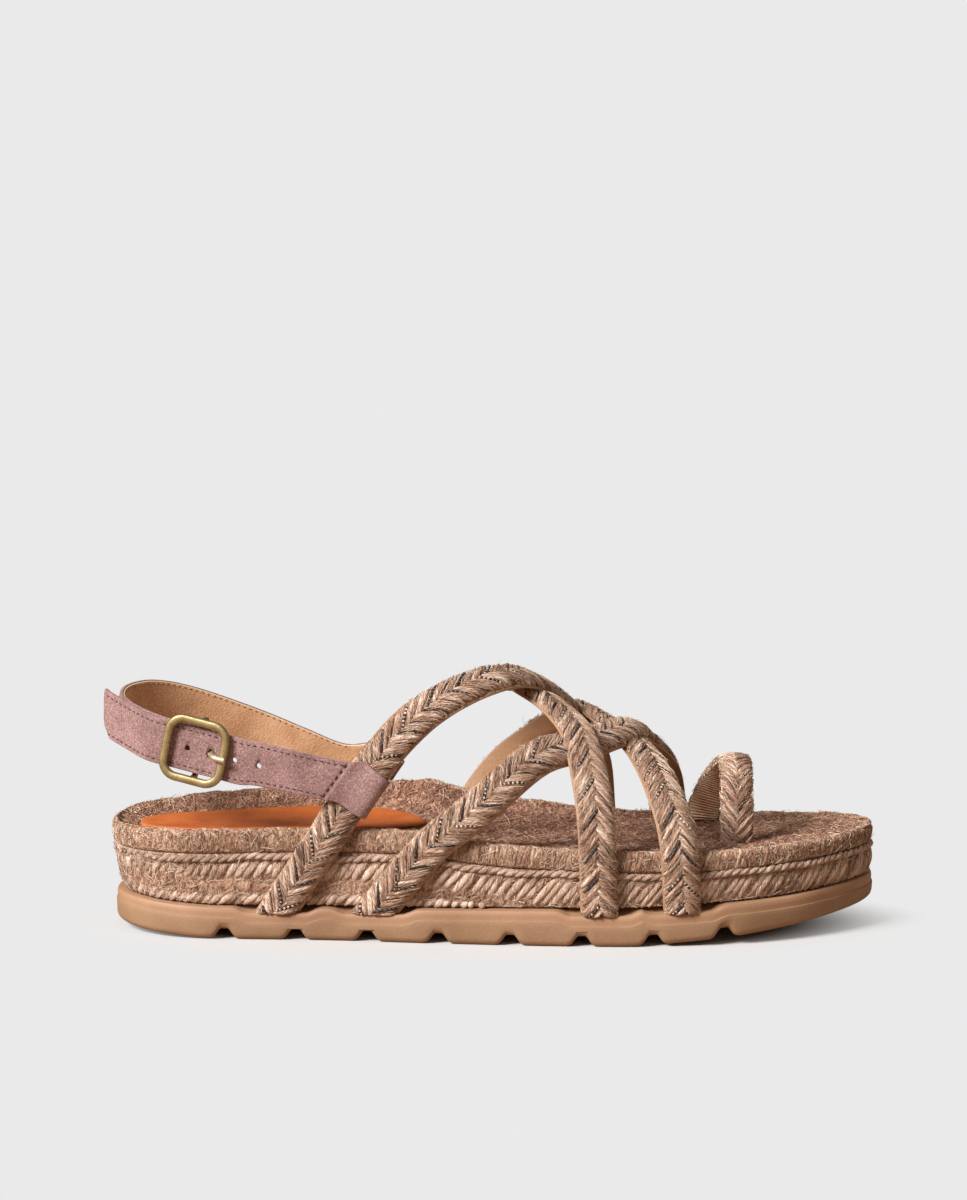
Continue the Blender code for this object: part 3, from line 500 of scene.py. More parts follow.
BUCKLE_FLAT = (-16.0, -8.0, 0.0, 8.0, 16.0)
PRONG_HOLE = 5.35
HOLES = (-3.0, PRONG_HOLE, 13.5, 21.7)
HOLE_RADIUS = 0.95
PRONG_HOLE_RADIUS = 1.7
STITCH_LINES = (-0.79, 0.79)
LINING_STITCH_LINES = (-0.85, 0.85)
STITCH_SPACING = 2.2
STITCH_LENGTH = 1.45
STITCH_RADIUS = 0.24
STITCH_OFF = 0.02
CROSS_STITCHES = 12
TIP_STITCH = 9
CREASE_STITCH = 1
# The sleeve's edge lies over the strap's end: a thin notch, then a low step
SEAM_NOTCH = -0.5
SEAM_STEP = 0.4
SEAM_FADE = 16
# The strap's free tip is cut upright and rounded at its lower corner
TIP_REACH = 16.0
TipRow = namedtuple("TipRow", "share cut")
TIP = [TipRow(-1.0, 8.4), TipRow(-0.9, 6.2), TipRow(-0.7, 4.4), TipRow(-0.3, 3.0), TipRow(1.0, 0.0)]

# Buckle: places are forward along the strap, out from it and up its width
BuckleRow = namedtuple("BuckleRow", "forward out width", defaults=(0.0,))
FRAME_HALF = 11.3
FRAME_BAR = 2.8
FRAME_THICK = 2.2
FRAME_CORNER = 6.4
FRAME_OUT = 2.5
FRAME_TURNS = np.linspace(0.0, 90.0, 13)
FRAME_SECTION_TURNS = 20
FRAME_SECTION_POWER = 0.72
FRAME_MIDDLE = FRAME_HALF - FRAME_BAR / 2
BAR_RADIUS = 1.0
BAR_BACK = -4.1
BAR_STEPS = 5
BAR_HALF = rows_of(
    BuckleRow,
    (0.0, FRAME_OUT, FRAME_MIDDLE),
    (0.0, BAR_BACK + 2.2, FRAME_MIDDLE),
    (0.0, BAR_BACK + 0.6, FRAME_MIDDLE - 0.4),
    (0.0, BAR_BACK, FRAME_MIDDLE - 1.6),
)
PRONG_RADIUS = 1.0
PRONG_TOP = FRAME_OUT + FRAME_THICK / 2 + GAP + PRONG_RADIUS
PRONG_CURL = (150, 195, 240, 285, 330)
PRONG_STEPS = 6
PRONG_RUN = rows_of(
    BuckleRow,
    (4.3, -3.2),
    (5.3, -1.4),
    (5.5, 0.8),
    (6.2, 2.9),
    (7.8, PRONG_TOP - 0.2),
    (9.6, PRONG_TOP),
    (11.3, PRONG_TOP - 0.1),
)
ROD_SIDES = 16
# A rod that runs closer to the strap's width than this is squared up by the strap's heading
WIDTH_SHARE = 0.7

# The heel strap's end is curled round the buckle's bar, with a slot for the prong
CURL_TAIL = [BuckleRow(-9.5, BAR_BACK - 0.1), BuckleRow(-4.5, BAR_BACK - 0.9)]
CURL_TURNS = (-90, -45, 0, 45, 90)
CURL_LEAD = (-5.0, -14.0)
SLOT_HALF = 1.4
SLOT_CORNERS = [BuckleRow(-3.6, -8.0), BuckleRow(3.6, -8.0), BuckleRow(3.6, -1.0), BuckleRow(-3.6, -1.0)]


def smooth(keys, values, at):
    """Smooth curve through a column of values that never overshoots them."""
    keys = np.asarray(keys, float)
    values = np.asarray(values, float)
    at = np.clip(np.asarray(at, float), keys[0], keys[-1])
    width = np.diff(keys)
    rise = np.diff(values) / width
    slope = np.concatenate(([rise[0]], np.zeros(len(keys) - 2), [rise[-1]]))
    for i in range(1, len(keys) - 1):
        if rise[i - 1] * rise[i] > 0:
            before = 2 * width[i] + width[i - 1]
            after = width[i] + 2 * width[i - 1]
            slope[i] = (before + after) / (before / rise[i - 1] + after / rise[i])
    i = np.clip(np.searchsorted(keys, at) - 1, 0, len(keys) - 2)
    t = (at - keys[i]) / width[i]
    first = (2 * t ** 3 - 3 * t ** 2 + 1) * values[i] + (3 * t ** 2 - 2 * t ** 3) * values[i + 1]
    return first + width[i] * ((t ** 3 - 2 * t ** 2 + t) * slope[i] + (t ** 3 - t ** 2) * slope[i + 1])


def column(table, name, at):
    """Value of a named table column at a distance along the foot."""
    keys = [row[0] for row in table]
    return smooth(keys, [getattr(row, name) for row in table], at)


def ease(t):
    t = np.clip(t, 0.0, 1.0)
    return t * t * (3 - 2 * t)


def unit(vector):
    vector = np.asarray(vector, float)
    return vector / np.linalg.norm(vector, axis=-1, keepdims=True)


def fade(value, span):
    """Eased rise from 0 to 1 across a span of values."""
    return ease((value - span[0]) / (span[1] - span[0]))


def powered(value, power):
    """Value raised to a power, with its sign kept."""
    return np.copysign(np.abs(value) ** power, value)


def reach_of(points):
    """Distances along a line of points, from its first."""
    return np.concatenate(([0.0], np.cumsum(np.linalg.norm(np.diff(points, axis=0), axis=1))))


def along_columns(reach, columns, at):
    """Columns of values read at distances along a line."""
    return np.stack([np.interp(at, reach, values) for values in columns.T], axis=-1)


def scatter(spread, count):
    """Random offsets about zero, one to a row."""
    return chance.normal(0.0, spread, (count, 1))


def between(span, count):
    """Random values within a span, one to a row."""
    return chance.uniform(*span, (count, 1))


# Sole outline

def end_factor(along):
    """How much of the full width is left where the heel and toe turn in."""
    heel = np.clip((HEEL_END + HEEL_ROUND - along) / HEEL_ROUND, 0.0, 1.0)
    toe = np.clip((along - TOE_END + TOE_ROUND) / TOE_ROUND, 0.0, 1.0)
    heel_part = (1 - heel ** HEEL_POWER) ** (1 / HEEL_POWER)
    return heel_part * (1 - toe ** TOE_POWER) ** (1 / TOE_POWER)


def side_of_sole(along, side):
    """Across position of the rubber's outline on one side, lateral or medial."""
    centre = column(SOLE, "centre", along)
    return centre + (column(SOLE, side, along) - centre) * end_factor(along)


def stations(places):
    """Distances along the sole: the given places in its middle, and closer ones where the ends turn."""
    heel = HEEL_END + HEEL_ROUND * (1 - np.cos(END_TURNS))
    toe = TOE_END - TOE_ROUND * (1 - np.cos(END_TURNS))
    middle = [x for x in places if heel[-1] + STATION_CLEAR < x < toe[-1] - STATION_CLEAR]
    return np.sort(np.concatenate((heel, middle, toe)))


def layer_stations():
    return stations(np.arange(HEEL_END, TOE_END, LAYER_SPACING))


def outline(along):
    """Closed outline, heel end first, out along the lateral side and back along the medial side."""
    lateral = np.column_stack((along, side_of_sole(along, "lateral")))
    medial = np.column_stack((along, side_of_sole(along, "medial")))
    heel = (HEEL_END, float(column(SOLE, "centre", HEEL_END)))
    toe = (TOE_END, float(column(SOLE, "centre", TOE_END)))
    points = np.vstack(([heel], lateral, [toe], medial[::-1]))
    tangent = unit(np.roll(points, -1, axis=0) - np.roll(points, 1, axis=0))
    return points, np.column_stack((tangent[:, 1], -tangent[:, 0]))


def by_side(along, lateral, medial):
    """Values for every outline point, from functions for its two sides."""
    heel = [(lateral(HEEL_END) + medial(HEEL_END)) / 2]
    toe = [(lateral(TOE_END) + medial(TOE_END)) / 2]
    return np.concatenate((heel, lateral(along), toe, medial(along[::-1])))


def both_sides(along, value):
    return by_side(along, value, value)


def each_side(along, value):
    """Values for every outline point, from a function that takes the side's name too."""
    return by_side(along, lambda x: value(x, "lateral"), lambda x: value(x, "medial"))


def jute_side(along, name):
    return both_sides(along, lambda x: column(JUTE_SIDE, name, x))


def spring(along):
    """How far the tread lifts off the floor towards the toe and at the back of the heel."""
    toe = np.clip((along - SPRING_START) / (TOE_END - SPRING_START), 0, 1) ** SPRING_POWER
    heel = np.clip((HEEL_SPRING_START - along) / (HEEL_SPRING_START - HEEL_END), 0, 1) ** HEEL_SPRING_POWER
    return TOE_SPRING * toe + HEEL_SPRING * heel


def groove(along):
    along = np.asarray(along, float)
    depth = np.zeros_like(along)
    for k in range(GROOVE_COUNT):
        middle = GROOVE_FIRST + GROOVE_PITCH * k
        depth = np.maximum(depth, np.interp(along - middle, *zip(*GROOVE)))
    return depth


def ledge(along):
    return spring(along) + column(SOLE, "ledge", along)


def dip(along, end):
    """How far the ledge sinks under the strap ends on one side."""
    feet = [rows[end].along for rows in STRAPS.values()]
    depth = np.zeros_like(np.asarray(along, float))
    for foot in feet:
        away = np.abs(along - foot)
        depth = np.maximum(depth, DIP * (1 - ease((away - DIP_FLAT) / (DIP_END - DIP_FLAT))))
    return depth


def rim(along, side):
    return column(SOLE, "rim_" + side, along)


def split(along, side):
    """Height where the top jute layer lies on the platform."""
    return rim(along, side) - column(SOLE, "top_band", along)


def worn_rim(along, side):
    """Rim of the footbed as it is seen, a little uneven."""
    height = rim(along, side)
    for row in WEAR:
        height = height + row.depth * np.sin(along / row.length + row.turn * WEAR_PHASE[side])
    return height


def footbed_edge(along, side):
    """Across position of the footbed's rim."""
    inset = column(JUTE_SIDE, "rim", along) + FOOTBED_TOP_BULGE
    return side_of_sole(along, side) + SIDE_SIGN[side] * inset


def footbed_height(along, across):
    """Top of the footbed: dished in the middle, raised along the inner arch."""
    outer = footbed_edge(along, "lateral")
    inner = footbed_edge(along, "medial")
    share = np.clip((across - outer) / (inner - outer), 0.0, 1.0)
    low = rim(along, "lateral")
    high = rim(along, "medial")
    base = low + (high - low) * share ** ARCH_POWER
    return base - column(SOLE, "dish", along) * (1 - np.abs(2 * share - 1) ** DISH_POWER)


# Meshes and pieces

def mesh_object(name, points, faces, material=None, edges=()):
    """Object at the origin from millimetre points, shaded smooth, its faces turned outward."""
    places = (np.asarray(points, float) - BOX_MIDDLE) * MM
    mesh = bpy.data.meshes.new(name)
    mesh.from_pydata(places.tolist(), list(edges), list(faces))
    if faces:
        shape = bmesh.new()
        shape.from_mesh(mesh)
        bmesh.ops.recalc_face_normals(shape, faces=shape.faces)
        shape.to_mesh(mesh)
        shape.free()
        mesh.shade_smooth()
    if material:
        mesh.materials.append(material)
    thing = bpy.data.objects.new(name, mesh)
    bpy.context.scene.collection.objects.link(thing)
    return thing


def mark(thing, name, values, kind="FLOAT"):
    """Named value on every point of a mesh."""
    layer = thing.data.attributes.new(name, kind, "POINT")
    field = "vector" if kind == "FLOAT_VECTOR" else "value"
    layer.data.foreach_set(field, np.asarray(values, np.float32).ravel())


def settle(thing):
    """Turns an object's modifiers into a plain mesh."""
    graph = bpy.context.evaluated_depsgraph_get()
    mesh = bpy.data.meshes.new_from_object(thing.evaluated_get(graph), depsgraph=graph)
    mesh.name = thing.name
    thing.modifiers.clear()
    thing.data = mesh
    return thing


def show(piece, slot_name, *nodes):
    """Hands a finished piece to the frame."""
    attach(piece, "root")
    if nodes:
        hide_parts(*nodes)


def ring_faces(count, size, closed=False):
    """Faces between neighbouring rings of one size."""
    faces = []
    for k in range(count if closed else count - 1):
        here = k * size
        there = ((k + 1) % count) * size
        for i in range(size):
            j = (i + 1) % size
            faces.append((here + i, here + j, there + j, there + i))
    return faces


def join_rings(rings, closed=False):
    """Points and faces of rings of one size, with end caps unless the row of rings is closed."""
    size = len(rings[0])
    count = len(rings)
    faces = ring_faces(count, size, closed)
    if not closed:
        faces.append(tuple(range(size - 1, -1, -1)))
        faces.append(tuple(range((count - 1) * size, count * size)))
    return np.concatenate([np.asarray(ring, float) for ring in rings]), faces


def sheet(lateral, medial, toe, inner_rows, faces):
    """Rows of faces straight across the sole, from its heel point to its toe point."""
    rows = [[lateral[0]]]
    for i in range(1, len(lateral)):
        rows.append([lateral[i]] + inner_rows[i - 1] + [medial[i]])
    rows.append(list(toe))
    for before, after in zip(rows, rows[1:]):
        for i in range(max(len(before), len(after)) - 1):
            corner = [before[min(i, len(before) - 1)], after[min(i, len(after) - 1)]]
            corner += [after[min(i + 1, len(after) - 1)], before[min(i + 1, len(before) - 1)]]
            kept = list(dict.fromkeys(corner))
            if len(kept) > 2:
                faces.append(tuple(kept))


def sole_solid(along, rings, top_rows):
    """Points and faces of closed outlines stacked upward, with sheets across bottom and top."""
    size = len(rings[0])
    half = len(along)
    points = [tuple(point) for ring in rings for point in ring]
    faces = ring_faces(len(rings), size)
    lateral = list(range(1, half + 1))
    medial = [size - i for i in lateral]
    toe = half + 1
    sheet([0] + lateral, [0] + medial, [toe], [[] for _ in along], faces)
    top = (len(rings) - 1) * size
    inner_rows = []
    for row in top_rows:
        inner_rows.append(list(range(len(points), len(points) + len(row))))
        points.extend(row)
    sheet([top] + [top + i for i in lateral], [top] + [top + i for i in medial], [top + toe],
          inner_rows, faces)
    return np.array(points), faces


# Node building

def put(tree, kind, inputs=None, **settings):
    """Adds a node, with its settings, plain values and links from other nodes' outputs."""
    node = tree.nodes.new(kind)
    for name, value in settings.items():
        setattr(node, name, value)
    for name, value in (inputs or {}).items():
        if isinstance(value, bpy.types.NodeSocket):
            tree.links.new(value, node.inputs[name])
        else:
            node.inputs[name].default_value = value
    return node


def geometry_tree(name, sockets):
    """Empty Geometry Nodes tree with named inputs; gives the tree, its inputs and its result socket."""
    tree = bpy.data.node_groups.new(name, "GeometryNodeTree")
    tree.interface.new_socket("Geometry", in_out="OUTPUT", socket_type="NodeSocketGeometry")
    tree.interface.new_socket("Geometry", in_out="INPUT", socket_type="NodeSocketGeometry")
    for label, kind in sockets.items():
        tree.interface.new_socket(label, in_out="INPUT", socket_type="NodeSocket" + kind)
    given = tree.nodes.new("NodeGroupInput").outputs
    result = tree.nodes.new("NodeGroupOutput").inputs["Geometry"]
    return tree, given, result


def finish_tree(tree, geometry, material, result):
    """Realizes what the tree made, shades it smooth and gives it its material."""
    real = put(tree, "GeometryNodeRealizeInstances", {"Geometry": geometry})
    shaded = put(tree, "GeometryNodeSetShadeSmooth", {"Geometry": real.outputs[0], "Shade Smooth": True})
    painted = put(tree, "GeometryNodeSetMaterial", {"Geometry": shaded.outputs[0], "Material": material})
    tree.links.new(painted.outputs[0], result)


def grow(carrier, tree, values):
    """Runs a Geometry Nodes tree on a carrier mesh and keeps the result as a plain mesh."""
    step = carrier.modifiers.new(tree.name, "NODES")
    step.node_group = tree
    for socket in tree.interface.items_tree:
        if socket.in_out == "INPUT" and socket.name in values:
            step[socket.identifier] = values[socket.name]
    return settle(carrier)


def yarn_tree():
    """Tubes along drawn lines, each with its own girth and lay, marked for the fibre pattern."""
    sockets = {"Sides": "Int", "Flatness": "Float", "Material": "Material"}
    tree, given, result = geometry_tree("yarn", sockets)
    line = put(tree, "GeometryNodeMeshToCurve", {"Mesh": given["Geometry"]})
    lay = put(tree, "GeometryNodeInputNamedAttribute", {"Name": "lay"}, data_type="FLOAT_VECTOR")
    girth = put(tree, "GeometryNodeInputNamedAttribute", {"Name": "girth"}, data_type="FLOAT")
    laid = put(tree, "GeometryNodeSetCurveNormal", {"Curve": line.outputs[0]}, mode="FREE")
    tree.links.new(lay.outputs["Attribute"], laid.inputs["Normal"])
    sized = put(tree, "GeometryNodeSetCurveRadius",
                {"Curve": laid.outputs[0], "Radius": girth.outputs["Attribute"]})
    spot = put(tree, "GeometryNodeSplineParameter")
    measured = put(tree, "GeometryNodeStoreNamedAttribute",
                   {"Geometry": sized.outputs[0], "Name": "along", "Value": spot.outputs["Length"]},
                   data_type="FLOAT", domain="POINT")
    ring = put(tree, "GeometryNodeCurvePrimitiveCircle", {"Resolution": given["Sides"], "Radius": 1.0})
    place = put(tree, "GeometryNodeInputPosition")
    section = put(tree, "GeometryNodeStoreNamedAttribute",
                  {"Geometry": ring.outputs[0], "Name": "section", "Value": place.outputs[0]},
                  data_type="FLOAT_VECTOR", domain="POINT")
    squash = put(tree, "ShaderNodeCombineXYZ", {"X": given["Flatness"], "Y": 1.0, "Z": 1.0})
    flat = put(tree, "GeometryNodeTransform", {"Geometry": section.outputs[0], "Scale": squash.outputs[0]})
    tube = put(tree, "GeometryNodeCurveToMesh",
               {"Curve": measured.outputs[0], "Profile Curve": flat.outputs[0], "Fill Caps": True})
    if "Scale" in tube.inputs:
        tree.links.new(girth.outputs["Attribute"], tube.inputs["Scale"])
    finish_tree(tree, tube.outputs[0], given["Material"], result)
    return tree


def stitch_tree():
    """Rounded stitches at even spacing along drawn lines."""
    sockets = {"Spacing": "Float", "Length": "Float", "Radius": "Float", "Material": "Material"}
    tree, given, result = geometry_tree("stitch_rows", sockets)
    line = put(tree, "GeometryNodeMeshToCurve", {"Mesh": given["Geometry"]})
    spots = put(tree, "GeometryNodeCurveToPoints", {"Curve": line.outputs[0], "Length": given["Spacing"]},
                mode="LENGTH")
    turn = put(tree, "FunctionNodeAlignRotationToVector", {"Vector": spots.outputs["Tangent"]}, axis="X")
    bead = put(tree, "GeometryNodeMeshUVSphere", {"Segments": 8, "Rings": 5, "Radius": 0.5})
    size = put(tree, "ShaderNodeCombineXYZ",
               {"X": given["Length"], "Y": given["Radius"], "Z": given["Radius"]})
    stitch = put(tree, "GeometryNodeTransform", {"Geometry": bead.outputs["Mesh"], "Scale": size.outputs[0]})
    rows = put(tree, "GeometryNodeInstanceOnPoints",
               {"Points": spots.outputs["Points"], "Instance": stitch.outputs[0],
                "Rotation": turn.outputs[0]})
    finish_tree(tree, rows.outputs[0], given["Material"], result)
    return tree


# Shader groups and materials

def paint(red, green, blue):
    """Colour seen on screen, 0 to 255, as the shader's linear value."""
    linear = []
    for value in (red, green, blue):
        share = value / 255
        linear.append(share / 12.92 if share <= 0.04045 else ((share + 0.055) / 1.055) ** 2.4)
    return (*linear, 1.0)


def paints(*shades):
    return [paint(*shade) for shade in shades]


def shader_group(name, sockets, outputs):
    group = bpy.data.node_groups.new(name, "ShaderNodeTree")
    for label, value in sockets.items():
        socket = group.interface.new_socket(label, in_out="INPUT", socket_type="NodeSocketFloat")
        socket.default_value = value
    for label in outputs:
        group.interface.new_socket(label, in_out="OUTPUT", socket_type="NodeSocketFloat")
    given = group.nodes.new("NodeGroupInput").outputs
    result = group.nodes.new("NodeGroupOutput").inputs
    return group, given, result


def attribute(tree, name, output="Fac"):
    return put(tree, "ShaderNodeAttribute", attribute_name=name).outputs[output]


def work(tree, operation, *values):
    """Result of one Math node."""
    return put(tree, "ShaderNodeMath", dict(enumerate(values)), operation=operation).outputs[0]


def mix_colours(tree, factor, first, second):
    inputs = {"Factor": factor, 6: first, 7: second}
    return put(tree, "ShaderNodeMix", inputs, data_type="RGBA").outputs[2]


def noise(tree, place, scale, detail, rough=0.5):
    inputs = {"Vector": place, "Scale": scale, "Detail": detail, "Roughness": rough}
    return put(tree, "ShaderNodeTexNoise", inputs).outputs


# How far apart the fibre patterns of two yarns lie
TONE_APART = 57.0


def twisted_fibre_group():
    """Fibres that run along a yarn with its twist, from the marks the yarn tree leaves on the mesh."""
    sockets = {"Stretch": 120.0, "Twist": 900.0, "Fineness": 2.6}
    group, given, result = shader_group("twisted_fibre", sockets, ("Streak", "Tone"))
    along = attribute(group, "along")
    section = attribute(group, "section", "Vector")
    tone = attribute(group, "tone")
    angle = work(group, "MULTIPLY", along, given["Twist"])
    turned = put(group, "ShaderNodeVectorRotate", {"Vector": section, "Angle": angle},
                 rotation_type="Z_AXIS")
    parts = put(group, "ShaderNodeSeparateXYZ", {0: turned.outputs[0]}).outputs
    length = work(group, "MULTIPLY", along, given["Stretch"])
    place = put(group, "ShaderNodeCombineXYZ", {
        "X": work(group, "MULTIPLY_ADD", tone, TONE_APART, length),
        "Y": work(group, "MULTIPLY", parts["X"], given["Fineness"]),
        "Z": work(group, "MULTIPLY", parts["Y"], given["Fineness"])})
    group.links.new(noise(group, place.outputs[0], 1.0, 4.0, 0.65)["Fac"], result["Streak"])
    group.links.new(tone, result["Tone"])
    return group


def mottle_group():
    """Soft patches and fine specks over a surface, in the object's own metres."""
    group, given, result = shader_group("mottle", {"Patch": 60.0, "Speck": 900.0}, ("Patches", "Specks"))
    place = put(group, "ShaderNodeTexCoord").outputs["Object"]
    group.links.new(noise(group, place, given["Patch"], 3.0)["Fac"], result["Patches"])
    group.links.new(noise(group, place, given["Speck"], 4.0, 0.7)["Fac"], result["Specks"])
    return group


def grain_group():
    """Pebbled grain of leather and rubber."""
    group, given, result = shader_group("grain", {"Scale": 900.0, "Round": 0.5}, ("Height",))
    place = put(group, "ShaderNodeTexCoord").outputs["Object"]
    wobble = noise(group, place, given["Scale"], 2.0)["Fac"]
    cells = put(group, "ShaderNodeTexVoronoi", {"Vector": place, "Scale": given["Scale"]},
                feature="SMOOTH_F1")
    height = put(group, "ShaderNodeMix",
                 {"Factor": given["Round"], 2: wobble, 3: cells.outputs["Distance"]})
    group.links.new(height.outputs[0], result["Height"])
    return group


def new_material(name, rough, **constants):
    """Material with constant values on the shader's own sockets; gives it, its tree and its shader."""
    material = bpy.data.materials.new(name)
    material.use_nodes = True
    tree = material.node_tree
    shader = tree.nodes["Principled BSDF"]
    shader.inputs["Roughness"].default_value = rough
    for label, value in constants.items():
        shader.inputs[label.replace("_", " ")].default_value = value
    return material, tree, shader


def ramp(tree, factor, places, colours):
    """Colours at places along a factor."""
    node = put(tree, "ShaderNodeValToRGB", {"Fac": factor})
    stops = node.color_ramp.elements
    while len(stops) < len(places):
        stops.new(0.5)
    for stop, place, colour in zip(stops, places, colours):
        stop.position = place
        stop.color = colour
    return node.outputs["Color"]


def colour_by(tree, shader, colour):
    tree.links.new(colour, shader.inputs["Base Color"])


def blend(tree, parts):
    """Weighted sum of values."""
    total = 0.0
    for value, weight in parts:
        total = work(tree, "MULTIPLY_ADD", value, weight, total)
    return total


def bump(tree, shader, height, strength, distance):
    node = put(tree, "ShaderNodeBump", {"Height": height, "Strength": strength, "Distance": distance * MM})
    tree.links.new(node.outputs[0], shader.inputs["Normal"])


def group_node(tree, group, values):
    node = put(tree, "ShaderNodeGroup", node_tree=group)
    for label, value in values.items():
        node.inputs[label].default_value = value
    return node.outputs


def mottle(tree, patch, speck):
    return group_node(tree, GROUPS["mottle"], {"Patch": patch, "Speck": speck})


def yarn_material(name, colours, stretch, twist, fineness, depth):
    """Twisted plant fibre: fine streaks along the yarn, a slight tone of its own for each yarn."""
    material, tree, shader = new_material(name, 0.7, Sheen_Weight=0.12, Sheen_Roughness=0.45)
    fibre = group_node(tree, GROUPS["fibre"], {"Stretch": stretch, "Twist": twist, "Fineness": fineness})
    patch = mottle(tree, 120.0, 1900.0)
    factor = blend(tree, [(fibre["Streak"], 0.85), (fibre["Tone"], 0.12), (patch["Patches"], 0.3),
                          (patch["Specks"], 0.25)])
    colour_by(tree, shader, ramp(tree, factor, (0.61, 0.71, 0.8, 0.92), colours))
    bump(tree, shader, fibre["Streak"], 1.0, depth)
    return material


def fibre_material(name, colours):
    """Single loose fibres, each of its own tone."""
    material, tree, shader = new_material(name, 0.6)
    colour_by(tree, shader, ramp(tree, attribute(tree, "tone"), (0.0, 0.55, 1.0), colours))
    return material


# Strokes of matted fibre: how each is turned from the object's axes and stretched along them
Stroke = namedtuple("Stroke", "turn stretch")
TOP_STROKES = [
    Stroke((0.0, 0.0, -1.3), (80.0, 1000.0, 1000.0)),
    Stroke((0.0, 0.0, 1.1), (100.0, 900.0, 900.0)),
]
SIDE_STROKES = [
    Stroke((0.0, 0.25, 0.0), (1200.0, 1200.0, 140.0)),
    Stroke((0.0, -0.5, 0.0), (900.0, 900.0, 170.0)),
]
FELT_WARP = (0.012, 0.012, 0.012)


def swept_noise(tree, place, turn, stretch):
    """Streaks along one direction, turned from the object's own axes."""
    turned = put(tree, "ShaderNodeVectorRotate", {"Vector": place, "Rotation": turn},
                 rotation_type="EULER_XYZ")
    swept = put(tree, "ShaderNodeVectorMath", {0: turned.outputs[0], 1: stretch}, operation="MULTIPLY")
    return noise(tree, swept.outputs[0], 1.0, 5.0, 0.7)["Fac"]


def felt_material(name, side_colours, top_colours):
    """Matted fibres: upright streaks on a side, swept slantwise on a top marked as such."""
    material, tree, shader = new_material(name, 0.85, Sheen_Weight=0.12)
    place = put(tree, "ShaderNodeTexCoord").outputs["Object"]
    warp = noise(tree, place, 70.0, 2.0)["Color"]
    bent = put(tree, "ShaderNodeVectorMath", {0: warp, 1: FELT_WARP, 2: place},
               operation="MULTIPLY_ADD").outputs[0]
    side = attribute(tree, "side")
    patch = mottle(tree, 90.0, 1500.0)
    streaks = []
    colours = []
    for strokes, shades in ((TOP_STROKES, top_colours), (SIDE_STROKES, side_colours)):
        fibres = work(tree, "MAXIMUM", *[swept_noise(tree, bent, *stroke) for stroke in strokes])
        factor = blend(tree, [(fibres, 0.9), (patch["Patches"], 0.25), (patch["Specks"], 0.2)])
        streaks.append(fibres)
        colours.append(ramp(tree, factor, (0.61, 0.69, 0.76, 0.88), shades))
    colour_by(tree, shader, mix_colours(tree, side, *colours))
    height = put(tree, "ShaderNodeMix", {"Factor": side, 2: streaks[0], 3: streaks[1]})
    bump(tree, shader, height.outputs[0], 1.0, 0.9)
    return material


def accent_material():
    """Near-black twisted thread with pale flecks where its second ply turns up."""
    material, tree, shader = new_material("dark_thread", 0.6)
    fibre = group_node(tree, GROUPS["fibre"], {"Stretch": 900.0, "Twist": 2600.0, "Fineness": 0.9})
    ply = work(tree, "SINE", work(tree, "MULTIPLY_ADD", attribute(tree, "along"), FLECK_TURN, fibre["Tone"]))
    factor = blend(tree, [(ply, 0.12), (fibre["Tone"], 0.2), (fibre["Streak"], 0.9)])
    colour_by(tree, shader, ramp(tree, factor, (0.0, 0.66, 0.74, 1.0), ACCENT_COLOURS))
    bump(tree, shader, ply, 0.5, 0.15)
    return material


def suede_material():
    """Dusty mauve suede: brushed nap patches and a fine fuzzy speckle."""
    material, tree, shader = new_material("mauve_suede", 0.95, Sheen_Weight=0.35, Sheen_Roughness=0.5,
                                          Sheen_Tint=SUEDE_SHEEN)
    nap = mottle(tree, 110.0, 1700.0)
    factor = blend(tree, [(nap["Patches"], 0.3), (nap["Specks"], 0.85)])
    colour_by(tree, shader, ramp(tree, factor, (0.4, 0.58, 0.74), SUEDE_COLOURS))
    bump(tree, shader, nap["Specks"], 0.8, 0.35)
    return material


def thread_lining_material():
    """Threads laid side by side across a band, with a pale cord along its edges."""
    material, tree, shader = new_material("thread_lining", 0.8)
    patch = mottle(tree, 500.0, 2400.0)
    wave = work(tree, "MULTIPLY", attribute(tree, "along"), 2 * math.pi / (LOOP_THREAD_PITCH * MM))
    thread = work(tree, "SINE", wave)
    factor = blend(tree, [(thread, 0.3), (patch["Patches"], 0.5), (patch["Specks"], 0.5)])
    threads = ramp(tree, factor, (0.2, 0.5, 0.8), THREAD_COLOURS)
    colour_by(tree, shader, mix_colours(tree, attribute(tree, "edge"), threads, THREAD_EDGE))
    bump(tree, shader, thread, 0.8, 0.3)
    return material


def leather_material(name, colours, rough, grain_scale, depth, cut_edge):
    """Smooth leather with a fine pebbled grain and soft patches, of another tone along its cut edges."""
    material, tree, shader = new_material(name, rough)
    patch = mottle(tree, 80.0, 700.0)
    grain = group_node(tree, GROUPS["grain"], {"Scale": grain_scale, "Round": 0.6})
    factor = blend(tree, [(patch["Patches"], 0.7), (patch["Specks"], 0.3), (grain["Height"], 0.2)])
    face = ramp(tree, factor, (0.42, 0.6, 0.8), colours)
    colour_by(tree, shader, mix_colours(tree, attribute(tree, "edge"), face, cut_edge))
    bump(tree, shader, grain["Height"], 0.6, depth)
    return material


